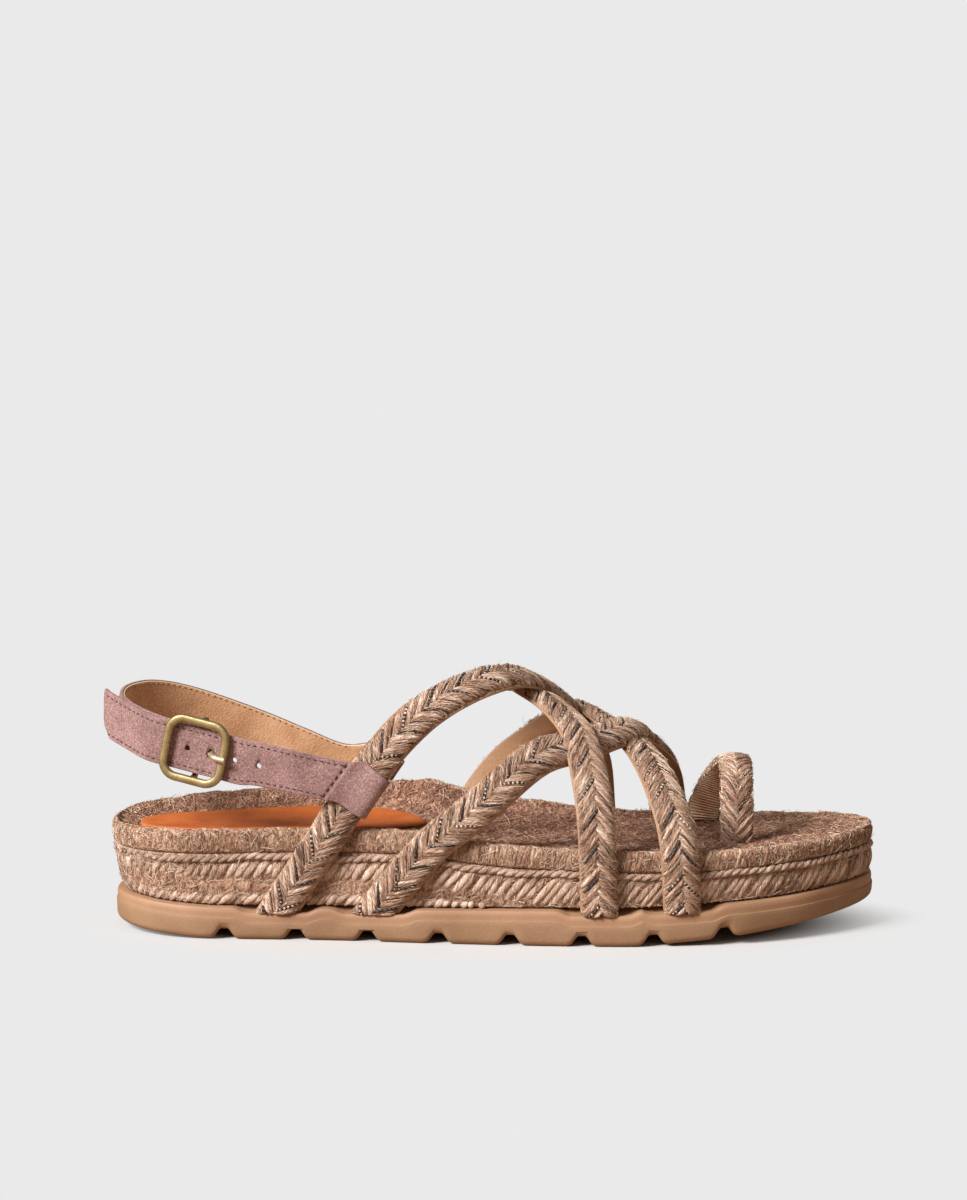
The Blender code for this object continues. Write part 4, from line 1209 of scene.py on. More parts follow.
def rubber_material():
    """Caramel rubber: grained and paler below the step, smooth and rosier above it."""
    material, tree, shader = new_material("caramel_rubber", 0.6)
    band = attribute(tree, "band")
    patch = mottle(tree, 50.0, 1600.0)
    grain = group_node(tree, GROUPS["grain"], {"Scale": 1900.0, "Round": 0.4})
    factor = blend(tree, [(patch["Patches"], 0.6), (patch["Specks"], 0.4)])
    shades = [ramp(tree, factor, (0.36, 0.52, 0.68), colours) for colours in (RUBBER_LOWER, RUBBER_UPPER)]
    colour_by(tree, shader, mix_colours(tree, band, *shades))
    grained = work(tree, "MULTIPLY", grain["Height"], work(tree, "MULTIPLY_ADD", band, -0.75, 1.0))
    bump(tree, shader, grained, 0.5, 0.25)
    return material


def brass_material(name, colours):
    """Antique brass: a fine brushed speckle, darker where it is dull."""
    material, tree, shader = new_material(name, 0.34, Metallic=1.0)
    patch = mottle(tree, 240.0, 1900.0)
    factor = blend(tree, [(patch["Patches"], 0.45), (patch["Specks"], 0.55)])
    colour_by(tree, shader, ramp(tree, factor, (0.34, 0.52, 0.7), colours))
    gloss = put(tree, "ShaderNodeMapRange", {"Value": factor, "From Min": 0.35, "From Max": 0.7,
                                             "To Min": 0.58, "To Max": 0.44})
    tree.links.new(gloss.outputs[0], shader.inputs["Roughness"])
    bump(tree, shader, patch["Specks"], 0.25, 0.12)
    return material


def plain_thread_material(name, colours):
    """Fine thread with a little change of tone."""
    material, tree, shader = new_material(name, 0.75)
    patch = mottle(tree, 260.0, 2600.0)
    colour_by(tree, shader, ramp(tree, patch["Patches"], (0.35, 0.65), colours))
    return material


# Straps' paths

def wall_edge(along, side):
    """Across position of the straps' inner face at the rim."""
    offset = column(JUTE_SIDE, "rim", along) + RIB_MOST + STRAP_CLEAR
    return side_of_sole(along, side) + SIDE_SIGN[side] * offset


def instep_point(along, girth):
    """Point of the surface the straps lie on, by distance along the foot and place round it."""
    outer = float(wall_edge(along, "lateral"))
    inner = float(wall_edge(along, "medial"))
    low = float(rim(along, "lateral"))
    high = float(rim(along, "medial"))
    foot = float(ledge(along)) - DIP + STRAP_SEAT
    taper = float(column(JUTE_SIDE, "taper", along))
    if girth < 0:
        t = -girth / WALL_GIRTH
        return np.array((along, outer + taper * t, low + (foot - low) * t))
    if girth > 180:
        t = (girth - 180) / WALL_GIRTH
        return np.array((along, inner - taper * t, high + (foot - high) * t))
    turn = math.radians(girth)
    base = low + (high - low) * (1 - math.cos(turn)) / 2
    middle = (outer + inner) / 2
    half = (inner - outer) / 2
    ridge = float(column(RIDGE, "height", along))
    return np.array((along, middle - half * math.cos(turn), base + (ridge - base) * math.sin(turn)))


def instep_normal(along, girth):
    """Outward direction of the instep surface."""
    step = 2.0
    ahead = instep_point(along + step, girth) - instep_point(along - step, girth)
    round_foot = instep_point(along, girth + step) - instep_point(along, girth - step)
    return unit(np.cross(ahead, round_foot))


Path = namedtuple("Path", "reach places tangents normals lifts")


def make_path(places, normals, lifts):
    places = np.array(places)
    reach = reach_of(places)
    tangents = unit(np.gradient(places, reach, axis=0))
    normals = np.array(normals)
    normals = unit(normals - tangents * np.sum(normals * tangents, axis=1)[:, None])
    return Path(reach, places, tangents, normals, np.array(lifts))


def on_path(path, distance):
    """Places, tangents, normals, across directions and lifts at distances along a path."""
    distance = np.asarray(distance, float)
    inside = np.clip(distance, 0.0, path.reach[-1])
    tangent = unit(along_columns(path.reach, path.tangents, inside))
    normal = unit(along_columns(path.reach, path.normals, inside))
    place = along_columns(path.reach, path.places, inside) + tangent * (distance - inside)[..., None]
    return place, tangent, normal, np.cross(normal, tangent), np.interp(inside, path.reach, path.lifts)


def strap_path(rows):
    girths, along, lifts = zip(*rows)
    turns = np.linspace(girths[0], girths[-1], PATH_SAMPLES)
    along = smooth(girths, along, turns)
    places = [instep_point(x, turn) for x, turn in zip(along, turns)]
    normals = [instep_normal(x, turn) for x, turn in zip(along, turns)]
    return make_path(places, normals, smooth(girths, lifts, turns))


def loop_path():
    """Arch over the big toe, its ends standing on the footbed."""
    near = np.array((*LOOP_NEAR, float(footbed_height(*LOOP_NEAR))))
    far = np.array((*LOOP_FAR, float(footbed_height(*LOOP_FAR))))
    middle = (near + far) / 2
    half = (far - near) / 2
    places = []
    normals = []
    for angle in np.linspace(0.0, math.pi, LOOP_SAMPLES):
        cosine = math.cos(angle)
        sine = math.sin(angle)
        power = LOOP_NEAR_POWER if cosine > 0 else LOOP_FAR_POWER
        side = powered(cosine, 2 / power)
        rise = abs(sine) ** (2 / power)
        place = middle - half * side + UP * (LOOP_RISE * rise + LOOP_SEAT)
        lean = 1.0 if cosine > 0 else rise ** LOOP_LEAN_POWER
        place[0] = far[0] + (near[0] - far[0]) * lean
        places.append(place)
        outward = -INNER * powered(cosine, LOOP_TURN_POWER)
        normals.append(outward + UP * abs(sine) ** LOOP_TURN_POWER)
    return make_path(places, normals, np.zeros(len(places)))


def level_leans(path):
    """Shear along a band, at its two ends, that makes its cut ends level."""
    leans = []
    for distance in (0.0, path.reach[-1]):
        place, tangent, normal, across, lift = on_path(path, distance)
        leans.append(-across[2] / tangent[2])
    return leans


# Yarns

def lay_yarns(name, lines, lay, girth, tone, sides, flatness, material):
    """Piece of yarns along lines, given as arrays of yarn, step and axis."""
    count, steps = lines.shape[:2]
    first = np.arange(count)[:, None] * steps + np.arange(steps - 1)[None, :]
    edges = np.stack((first.ravel(), first.ravel() + 1), axis=1).tolist()
    carrier = mesh_object(name, lines.reshape(-1, 3), [], edges=edges)
    mark(carrier, "lay", lay.reshape(-1, 3), "FLOAT_VECTOR")
    mark(carrier, "girth", np.broadcast_to(girth, (count, steps)) * MM)
    mark(carrier, "tone", np.broadcast_to(np.asarray(tone)[:, None], (count, steps)))
    return grow(carrier, TREES["yarn"], {"Sides": sides, "Flatness": flatness, "Material": material})


Strands = namedtuple("Strands", "spot side height turn")


def yarn_shape(share):
    """Side, height and turn of a strand at places along its run."""
    keys = np.arange(len(YARN_RUN))
    side, height, turn = [smooth(keys, values, share) for values in zip(*YARN_RUN)]
    return side, height, np.radians(turn)


def strand_runs(length, pitch, half, crown, arrow, columns, offset, start=0.0, finish=1.0, every=1):
    """Distances, sides, heights and turns of strands that run from a braid's middle to its edges."""
    share = np.linspace(start, finish, YARN_STEPS) * (len(YARN_RUN) - 1)
    side, height, turn = yarn_shape(share)
    lean = np.maximum.accumulate(side) + EDGE_WRAP * fade(share, WRAP_ROWS)
    slope = half / math.tan(STRAND_ANGLE)
    first = math.floor(-(slope + pitch) / pitch)
    last = math.ceil((length + slope + pitch) / pitch)
    turns = [k for k in range(first, last + 1) if k % every == 0]
    spots = np.array([(k + COLUMN_SHIFT * sign + offset) * pitch for sign in columns for k in turns])
    signs = np.repeat(columns, len(turns))[:, None]
    spot = spots[:, None] + arrow * lean[None, :] * slope
    height = np.broadcast_to(height * crown, spot.shape)
    return Strands(spot, signs * side[None, :] * half, height, signs * turn[None, :])


def place_strands(path, strands, extra_rise=0.0):
    """Places and outward lays of strands on a path, kept inside the braid's level ends."""
    length = path.reach[-1]
    leans = level_leans(path)
    first = leans[0] * strands.side
    last = length + leans[1] * strands.side
    over = np.maximum(first - strands.spot, 0) + np.maximum(strands.spot - last, 0)
    kept = np.sum(over < END_SLACK, axis=1) >= STEPS_INSIDE
    spot = np.clip(strands.spot, first, last)[kept]
    side = strands.side[kept]
    turn = strands.turn[kept]
    near_end = np.minimum(spot - first[kept], last[kept] - spot)
    thin = END_THIN + (1 - END_THIN) * ease(near_end / END_REACH)
    height = strands.height[kept] * thin * np.exp(-over[kept] / END_SINK) + extra_rise
    place, tangent, normal, across, lift = on_path(path, spot)
    points = place + across * side[..., None] + normal * (lift + height)[..., None]
    lay = normal * np.cos(turn)[..., None] + across * np.sin(turn)[..., None]
    return points, lay


def make_braid(name, path, arrow, half, crown, pitch, material):
    """Herringbone braid of two columns, each strand three yarns that wrap the edge together."""
    girth = YARN_GIRTH * pitch / STRAND_PITCH
    inset = girth * YARN_FLATNESS
    lines = []
    lays = []
    together = None
    for yarn in STRAND_YARNS:
        strands = strand_runs(path.reach[-1], pitch, half - inset, crown - inset, arrow, (-1, 1),
                              yarn.offset)
        count = len(strands.spot)
        if together is None:
            together = scatter(STRAND_STRAY, count)
        strands = strands._replace(spot=strands.spot + together + scatter(YARN_STRAY, count))
        points, lay = place_strands(path, strands, yarn.rise)
        lines.append(points)
        lays.append(lay)
    lines = np.concatenate(lines)
    lays = np.concatenate(lays)
    count = len(lines)
    lines = lines + lays * scatter(YARN_LOFT, count)[..., None]
    belly = STRAND_NECK + STRAND_BELLY * np.sin(math.pi * np.linspace(BELLY_START, 1.0, YARN_STEPS))
    swell = girth * between(YARN_GIRTHS, count) * belly[None, :]
    tone = chance.uniform(0.0, 1.0, count)
    return lay_yarns(name, lines, lays, swell, tone, YARN_SIDES, YARN_FLATNESS, material)


def make_accents(name, path, style, material):
    """Dark threads along every second strand of the columns that carry them."""
    strands = strand_runs(path.reach[-1], STRAND_PITCH, BRAID_HALF - YARN_GIRTH, BRAID_CROWN - YARN_GIRTH,
                          style.arrow, style.accent_columns, ACCENT_OFFSET, ACCENT_START, ACCENT_FINISH,
                          ACCENT_EVERY)
    points, lay = place_strands(path, strands, ACCENT_RISE)
    girth = np.full((len(points), 1), ACCENT_GIRTH)
    tone = chance.uniform(0, 1, len(points))
    return lay_yarns(name, points, lay, girth, tone, ACCENT_SIDES, ACCENT_FLATNESS, material)


def make_band(name, path, section, material):
    """Band of one cross section, as side and height pairs, with level ends that thin down."""
    length = path.reach[-1]
    leans = level_leans(path)
    side, tall = np.array(section).T
    rings = []
    for distance in np.linspace(0.0, length, int(length / BAND_STEP)):
        first = 1 - ease(distance / END_REACH)
        last = 1 - ease((length - distance) / END_REACH)
        thin = 1 - (1 - END_THIN) * (first + last)
        spot = distance + (leans[0] * first + leans[1] * last) * side
        place, tangent, normal, across, lift = on_path(path, spot)
        rings.append(place + across * side[:, None] + normal * (lift + tall * thin)[:, None])
    points, faces = join_rings(rings)
    piece = mesh_object(name, points, faces, material)
    mark(piece, "along", np.repeat(np.linspace(0.0, length * MM, len(rings)), len(section)))
    mark(piece, "edge", np.tile(np.abs(side) > np.max(np.abs(side)) - EDGE_BAND, len(rings)))
    return piece


def core_section(half, crown):
    """Crowned body inside a braid, a little smaller than its yarns; its dark colour is painted shade that
    shows between them.
    """
    side = half * CORE_WIDTH * np.cos(CORE_TURNS)
    height = CORE_LOW + (crown * CORE_HEIGHT - CORE_LOW) * np.sin(CORE_TURNS) ** CORE_POWER
    return list(zip(side, height))


def lining_section(rear, front):
    """Thin leather with softly rounded cut edges, its rear edge first."""
    low = LINING_LOW
    high = low + LINING_THICK
    rear_edge = [(rear - BEVEL_SIDE, low), (rear, low + BEVEL_RISE), (rear, high - BEVEL_RISE),
                 (rear - BEVEL_SIDE, high)]
    front_edge = [(BEVEL_SIDE - front, high), (-front, high - BEVEL_RISE), (-front, low + BEVEL_RISE),
                  (BEVEL_SIDE - front, low)]
    return rear_edge + [(0.0, high)] + front_edge + [(0.0, low)]


# Jute platform and footbed

Wall = namedtuple("Wall", "reach along points outward rim taper low split top")


def sole_wall():
    """The jute's side, unrolled by distance round the outline."""
    along = layer_stations()
    points, outward = outline(along)
    values = [
        np.concatenate(([HEEL_END], along, [TOE_END], along[::-1])),
        jute_side(along, "rim"),
        jute_side(along, "taper"),
        both_sides(along, ledge) + GAP,
        each_side(along, split),
        each_side(along, worn_rim),
    ]
    closed = np.vstack((points, points[:1]))
    values = [np.append(value, value[0]) for value in values]
    return Wall(reach_of(closed), values[0], closed, np.vstack((outward, outward[:1])), *values[1:])


def wall_value(wall, name, around):
    return np.interp(around % wall.reach[-1], wall.reach, getattr(wall, name))


def off_outline(wall, around, offset, height):
    """Places at an offset out from the outline and a height, with outward directions."""
    at = around % wall.reach[-1]
    outward = unit(along_columns(wall.reach, wall.outward, at))
    flat = along_columns(wall.reach, wall.points, at) + outward * offset[..., None]
    level = np.zeros(outward.shape[:-1] + (1,))
    return np.concatenate((flat, height[..., None]), axis=-1), np.concatenate((outward, level), axis=-1)


def on_wall(wall, around, level, out):
    """Places on the platform's side, by share of its height and distance out."""
    offset = wall_value(wall, "rim", around) - wall_value(wall, "taper", around) * (1 - level) + out
    low = wall_value(wall, "low", around)
    return off_outline(wall, around, offset, low + (wall_value(wall, "split", around) - low) * level)


def on_band(wall, around, level, out):
    """Places on the footbed's side, by share of its height and distance out."""
    offset = wall_value(wall, "rim", around) + out
    low = wall_value(wall, "split", around) + GAP
    return off_outline(wall, around, offset, low + (wall_value(wall, "top", around) - low) * level)


def rope_row(wall, bottom, top, slant, girth):
    """Lines, lays and girths of one row of slanted strands between two shares of the platform's height."""
    around = np.arange(0.0, wall.reach[-1] - ROPE_PITCH / 2, ROPE_PITCH)
    along = wall_value(wall, "along", around)
    rise = wall_value(wall, "split", around) - wall_value(wall, "low", around)
    low = bottom(along) + ROPE_START
    tall = top(along) - low
    kept = tall * rise > girth
    count = int(np.sum(kept))
    around, along, rise, low, tall = [values[kept][:, None] for values in (around, along, rise, low, tall)]
    around = around + scatter(ROPE_STRAY, count)
    lean = np.tan(slant + scatter(ROPE_LEAN_STRAY, count))
    steps = np.linspace(0.0, 1.0, ROPE_STEPS)
    swell = np.sin(math.pi * np.clip(steps, *ROPE_ENDS)) ** ROPE_SWELL_POWER
    sunk = ROPE_SINK * (1 - fade(along, ROPE_SHOWS))
    out = ROPE_OUT + ROPE_BULGE * swell - sunk + scatter(ROPE_OUT_STRAY, count)
    points, lay = on_wall(wall, around + steps * tall * rise * lean, low + tall * steps, out)
    return points, lay, girth * (0.5 + 0.5 * swell) * between(ROPE_GIRTHS, count)


def make_ropes(wall, material):
    """Small twisted strands along the heel's foot and tall slanted ropes above the felt."""
    rows = [
        rope_row(wall, np.zeros_like, lambda x: column(BANDS, "strands_top", x), STRAND_SLANT, STRAND_GIRTH),
        rope_row(wall, lambda x: column(BANDS, "felt_top", x), lambda x: np.full_like(x, ROPE_TOP),
                 ROPE_SLANT, ROPE_GIRTH),
    ]
    lines, lays, girths = [np.concatenate(parts) for parts in zip(*rows)]
    tone = chance.uniform(0.0, 1.0, len(lines))
    return lay_yarns("platform_ropes", lines, lays, girths, tone, ROPE_SIDES, ROPE_FLATNESS, material)


def make_cord(wall, material):
    """Two-ply cord that wanders round the platform under the footbed."""
    length = wall.reach[-1]
    turns = round(length / CORD_TURN)
    around = np.linspace(0.0, length, turns * CORD_STEPS + 1)
    turn = 2 * math.pi * around / length
    slow, quick, swelling = CORD_WAVES
    wander = np.sin(slow * turn) + CORD_WAVE_SHARE * np.sin(quick * turn + 1.0)
    level = CORD_LEVEL + CORD_WANDER * wander / (1 + CORD_WAVE_SHARE)
    out = CORD_OUT - CORD_SINK * (1 - fade(wall_value(wall, "along", around), CORD_SHOWS))
    base, outward = on_wall(wall, around, level, out)
    lines = []
    lays = []
    for ply in (0.0, math.pi):
        phase = turns * turn + ply
        twist = outward * np.cos(phase)[:, None] + UP * np.sin(phase)[:, None]
        lines.append(base + twist * CORD_SPLIT)
        lays.append(twist)
    girth = CORD_GIRTH * (1 + CORD_SWELL * np.sin(swelling * turn + np.array((0.0, 2.0))[:, None]))
    return lay_yarns("platform_cord", np.array(lines), np.array(lays), girth, CORD_TONES, CORD_SIDES,
                     CORD_FLATNESS, material)


def over_rim(wall, around, climb, out):
    """Places up the footbed's side and over its rim, with outward directions."""
    keys, levels, outs = zip(*CLIMB)
    tilt = fade(climb, TILT_SPAN) * math.pi / 2
    places, outward = on_band(wall, around, np.interp(climb, keys, levels), np.interp(climb, keys, outs))
    on_top = footbed_height(places[..., 0], places[..., 1])
    places[..., 2] += (on_top - places[..., 2]) * fade(climb, TOP_SPAN)
    lay = outward * np.cos(tilt)[..., None] + UP * np.sin(tilt)[..., None]
    return places + lay * np.asarray(out)[..., None], lay


def make_ribs(wall, material):
    """Fine whipping round the footbed's side, each turn bent over its rim, sunk in the felt at the heel."""
    around = np.arange(0.0, wall.reach[-1] - RIB_PITCH / 2, RIB_PITCH)[:, None]
    count = len(around)
    climb = np.linspace(0.0, RIB_TOP, RIB_STEPS)[None, :] + scatter(RIB_CLIMB_STRAY, count)
    shown = fade(wall_value(wall, "along", around), RIB_SHOWS)
    out = RIB_OUT - RIB_SINK * (1 - shown) + scatter(RIB_OUT_STRAY, count)
    spot = around + scatter(RIB_STRAY, count) + climb * (RIB_LEAN + scatter(RIB_LEAN_STRAY, count))
    points, lay = over_rim(wall, spot, climb, np.broadcast_to(out, climb.shape))
    girth = RIB_GIRTH * between(RIB_GIRTHS, count)
    tone = chance.uniform(0, 1, count)
    return lay_yarns("footbed_ribs", points, lay, girth, tone, RIB_SIDES, RIB_FLATNESS, material)


# Loose fibres

def fibre_runs(fuzz, heading):
    """Offsets along and across a surface, and off it, of bent fibres that lie about one heading."""
    share = np.linspace(-0.5, 0.5, FIBRE_STEPS)[None, :]
    length = between((fuzz.shortest, fuzz.longest), fuzz.count)
    angle = heading + scatter(fuzz.wander, fuzz.count) + scatter(FIBRE_BEND, fuzz.count) * share
    lift = fuzz.rise * chance.exponential(FIBRE_LIFT, (fuzz.count, 1)) * (share + 0.5)
    arch = FIBRE_ARCH * fuzz.rise * (1 - (2 * share) ** 2)
    return length * share * np.cos(angle), length * share * np.sin(angle), lift + arch


def lay_fibres(name, fuzz, lines, material):
    """Piece of loose fibres along lines, each fibre of its own tone."""
    count = len(lines)
    lay = np.broadcast_to(FIBRE_LAY, lines.shape)
    girth = fuzz.radius * between(FIBRE_GIRTHS, count)
    return lay_yarns(name, lines, lay, girth, chance.uniform(0, 1, count), FIBRE_SIDES, 1.0, material)


def make_rim_fuzz(wall, material):
    """Matted fibres up the footbed's side and over its rim."""
    fuzz = FUZZ["rim"]
    rise, drift, off = fibre_runs(fuzz, 0.0)
    around = between((0.0, wall.reach[-1]), fuzz.count) + drift
    tall = wall_value(wall, "top", around) - wall_value(wall, "split", around)
    climb = np.clip(between(RIM_START, fuzz.count) + rise / tall, *RIM_REACH)
    shown = fade(wall_value(wall, "along", around), RIB_SHOWS)
    lines, lay = over_rim(wall, around, climb, off + RIM_OFF + RIM_OFF_SHOWN * shown)
    return lay_fibres("rim_fuzz", fuzz, lines, material)


def make_platform_fuzz(wall, material):
    """Fibres that have worked loose from the platform's ropes and felt."""
    fuzz = FUZZ["platform"]
    rise, drift, off = fibre_runs(fuzz, ROPE_SLANT)
    around = between((0.0, wall.reach[-1]), fuzz.count) + drift
    tall = wall_value(wall, "split", around) - wall_value(wall, "low", around)
    level = np.clip(between(PLATFORM_START, fuzz.count) + rise / tall, *PLATFORM_REACH)
    lines, lay = on_wall(wall, around, level, off + PLATFORM_OFF * np.sin(math.pi * level))
    return lay_fibres("platform_fuzz", fuzz, lines, material)


def make_top_fuzz(material):
    """Fibres swept slantwise over the footbed's top."""
    fuzz = FUZZ["top"]
    forward, across, off = fibre_runs(fuzz, TOP_HEADING)
    start = between((HEEL_END + TOP_START_INSET, TOE_END - TOP_START_INSET), fuzz.count)
    along = np.clip(start + forward, HEEL_END + TOP_INSET, TOE_END - TOP_INSET)
    share = between(TOP_SHARES, fuzz.count)
    outer = footbed_edge(along, "lateral")
    inner = footbed_edge(along, "medial")
    side = np.clip(outer + (inner - outer) * share + across, outer + TOP_EDGE, inner - TOP_EDGE)
    height = footbed_height(along, side) + TOP_OFF + off
    return lay_fibres("footbed_fuzz", fuzz, np.stack((along, side, height), axis=-1), material)


def make_braid_fuzz(name, fuzz, path, arrow, half, crown, material):
    """Fibres that have worked loose along a braid's strands."""
    forward, across, off = fibre_runs(fuzz, 0.0)
    run = STRAND_STRETCH * half / math.sin(STRAND_ANGLE)
    share = np.clip(between(STRAND_START, fuzz.count) + forward / run, *STRAND_REACH)
    sign = chance.choice((-1.0, 1.0), (fuzz.count, 1))
    side, height, turn = yarn_shape(share * (len(YARN_RUN) - 1))
    turn = turn * sign
    spot = between((0.0, path.reach[-1]), fuzz.count) + across + arrow * side * half / math.tan(STRAND_ANGLE)
    strands = Strands(spot, sign * side * half + np.sin(turn) * off,
                      height * crown + STRAND_OFF + np.cos(turn) * off, turn)
    lines, lay = place_strands(path, strands)
    return lay_fibres(name, fuzz, lines, material)


def layer_rings(along, ribs, low, high, level_taper):
    """Outlines of one jute layer between two heights."""
    points, outward = outline(along)
    taper = jute_side(along, "taper") * level_taper
    rings = []
    for row in ribs:
        offset = jute_side(along, "rim") + row.bulge - taper * (1 - row.level)
        moved = points + outward * offset[:, None]
        rings.append(np.column_stack((moved, low + (high - low) * row.level)))
    return rings


def make_platform_felt(material):
    """Matted body of the platform, which shows between its ropes and as a band at the heel."""
    along = layer_stations()
    low = both_sides(along, ledge) + GAP
    high = each_side(along, split)
    rings = layer_rings(along, PLATFORM_FELT, low, high, 1.0)
    points, faces = sole_solid(along, rings, [[] for _ in along])
    piece = mesh_object("platform_felt", points, faces, material)
    mark(piece, "side", np.ones(len(points)))
    return piece


def make_footbed(material):
    """Dished top of matted fibres over the footbed's side."""
    along = layer_stations()
    low = each_side(along, split) + GAP
    high = each_side(along, worn_rim)
    rings = layer_rings(along, FOOTBED_FELT, low, high, 0.0)
    top = rings[-1]
    rows = []
    for i, x in enumerate(along):
        outer = top[i + 1]
        inner = top[len(top) - 1 - i]
        across = outer[1] + (inner[1] - outer[1]) * ACROSS
        height = footbed_height(x, across) + chance.normal(0.0, TOP_ROUGHNESS, len(ACROSS))
        rows.append([(x, y, z) for y, z in zip(across, height)])
    points, faces = sole_solid(along, rings, rows)
    piece = mesh_object("footbed_mat", points, faces, material)
    side = np.zeros(len(points))
    side[:len(rings[0]) * (len(rings) - 1)] = 1.0
    mark(piece, "side", side)
    return piece


def make_outsole(material):
    """Grooved rubber unit with its step, lip and ledge."""
    edges = [GROOVE_FIRST + GROOVE_PITCH * k + row.offset for k in range(GROOVE_COUNT) for row in GROOVE]
    lugs = [GROOVE_FIRST + GROOVE_PITCH * (k + share)
            for k in range(-1, GROOVE_COUNT) for share in LUG_SHARES]
    along = stations(sorted(edges + lugs))
    points, outward = outline(along)
    top = both_sides(along, ledge)
    levels = {
        "tread": both_sides(along, lambda x: spring(x) + groove(x)),
        "lip": top - by_side(along, lambda x: dip(x, 0), lambda x: dip(x, -1)),
        "ledge": top,
    }
    rings = []
    for row in RUBBER_SIDE:
        moved = points + outward * row.out
        rings.append(np.column_stack((moved, levels[row.level] + row.rise)))
    places, faces = sole_solid(along, rings, [[] for _ in along])
    piece = mesh_object("outsole_rubber", places, faces, material)
    mark(piece, "band", np.repeat([row.band for row in RUBBER_SIDE], len(points)))
    piece.data.set_sharp_from_angle(angle=SHARP_TURN)
    return piece


def make_sock(material):
    """Thin oval leather sheet that follows the dished heel, its edge rounded."""
    middle = (SOCK_REAR + SOCK_FRONT) / 2
    reach = (SOCK_FRONT - SOCK_REAR) / 2
    angle = 2 * np.pi * np.arange(SOCK_TURNS) / SOCK_TURNS
    rings = []
    for level in SOCK_LEVELS:
        u = powered(np.cos(angle), 2 / SOCK_POWER) * level
        v = powered(np.sin(angle), 2 / SOCK_POWER) * level
        across = SOCK_HALF_WIDTH * v + SOCK_ACROSS
        along = middle + reach * u - SOCK_SKEW * SOCK_HALF_WIDTH * v * np.maximum(u, 0.0)
        rings.append(np.column_stack((along, across, footbed_height(along, across) + 2 * GAP)))
    thick = [SOCK_THICK * share for share in SOCK_EDGE] + [SOCK_THICK] * (len(rings) - len(SOCK_EDGE))
    upper = [ring + UP * lift for ring, lift in zip(rings, thick)]
    points, faces = join_rings(rings[::-1] + upper)
    return mesh_object("heel_sock_leather", points, faces, material)


# Suede straps and buckle

def catmull(points, steps):
    """Smooth curve through given points."""
    points = np.array(points, float)
    ends = np.vstack((2 * points[0] - points[1], points, 2 * points[-1] - points[-2]))
    curve = []
    for i in range(1, len(ends) - 2):
        a, b, c, d = ends[i - 1:i + 3]
        for t in np.arange(steps) / steps:
            curve.append(0.5 * (2 * b + (c - a) * t + (2 * a - 5 * b + 4 * c - d) * t ** 2
                                + (3 * b - a - 3 * c + d) * t ** 3))
    curve.append(points[-1])
    return np.array(curve)


def buckle_axes():
    """Directions at the buckle: forward along the strap, up its width and out from the foot."""
    forward = np.array((math.cos(BUCKLE_FALL) * math.cos(BUCKLE_HEADING),
                        math.cos(BUCKLE_FALL) * math.sin(BUCKLE_HEADING), math.sin(BUCKLE_FALL)))
    width = unit(UP - forward * forward[2])
    return forward, width, np.cross(forward, width)


def at_buckle(forward_by, out_by, width_by=0.0):
    forward, width, out = buckle_axes()
    return BUCKLE_PLACE + forward * forward_by + out * out_by + width * width_by


def run_places(rows):
    return [np.array((row.along, row.across, row.up)) for row in rows]


def round_bar(radius, turns):
    """Places round the buckle's bar, at angles in degrees."""
    places = []
    for degrees in turns:
        turn = math.radians(degrees)
        places.append(at_buckle(radius * math.cos(turn), BAR_BACK + radius * math.sin(turn)))
    return places


def upright(centres):
    """Directions across a strap that stands upright along its run."""
    tangents = unit(np.gradient(np.array(centres), axis=0))
    return [unit(UP - t * t[2]) for t in tangents]


def sleeve_section(path, distance):
    """Centres of a sleeve round a braid, one for each row of its section."""
    clear = SLEEVE_CLEAR + SKIVED / 2
    faces = {"crown": BRAID_CROWN + clear, "inner": -clear}
    edge = BRAID_HALF + clear
    place, tangent, normal, across, lift = on_path(path, distance)
    return [place + across * row.side * edge + normal * (faces[row.face] + row.rise)
            for row in SLEEVE_SECTION]


def girth_distance(rows, path, girth):
    share = (girth - rows[0].girth) / (rows[-1].girth - rows[0].girth)
    return float(np.interp(share, np.linspace(0, 1, len(path.reach)), path.reach))


Ribbon = namedtuple("Ribbon", "columns out thickness tip crease")


def strap_ribbon(run, halves, path, rows, girth, curled, outward):
    """Three side-by-side curves of a strap that ends in a sleeve, with its outward face and thickness."""
    distance = girth_distance(rows, path, girth)
    direction = on_path(path, distance)[1]
    rising = math.copysign(1.0, direction[2])
    sleeve = sleeve_section(path, distance)
    widths = upright(run + sleeve[:1])[:len(run)]
    widths[:curled] = [buckle_axes()[1]] * curled
    widths[-1] = direction * rising
    columns = []
    for share in (-1.0, 0.0, 1.0):
        points = [place + width * half * share for place, width, half in zip(run, widths, halves)]
        points += sleeve_section(path, distance + share * rising * halves[-1])
        columns.append(catmull(points, RIBBON_STEPS))
    thickness = np.full(len(columns[0]), SUEDE_THICK)
    thickness[RIBBON_STEPS * len(run):] = SKIVED
    thickness[:RIBBON_STEPS * max(curled - 1, 0)] = SKIVED
    kernel = np.ones(RIBBON_STEPS) / RIBBON_STEPS
    padded = np.pad(thickness, RIBBON_STEPS, mode="edge")
    thickness = np.convolve(padded, kernel, mode="same")[RIBBON_STEPS:-RIBBON_STEPS]
    tangents = np.gradient(columns[1], axis=0)
    out = unit(np.cross(tangents, columns[2] - columns[0])) * outward
    crease = RIBBON_STEPS * (len(run) - 1) + CREASE_STITCH
    return Ribbon(np.array(columns), out, thickness, curled == 0, crease)


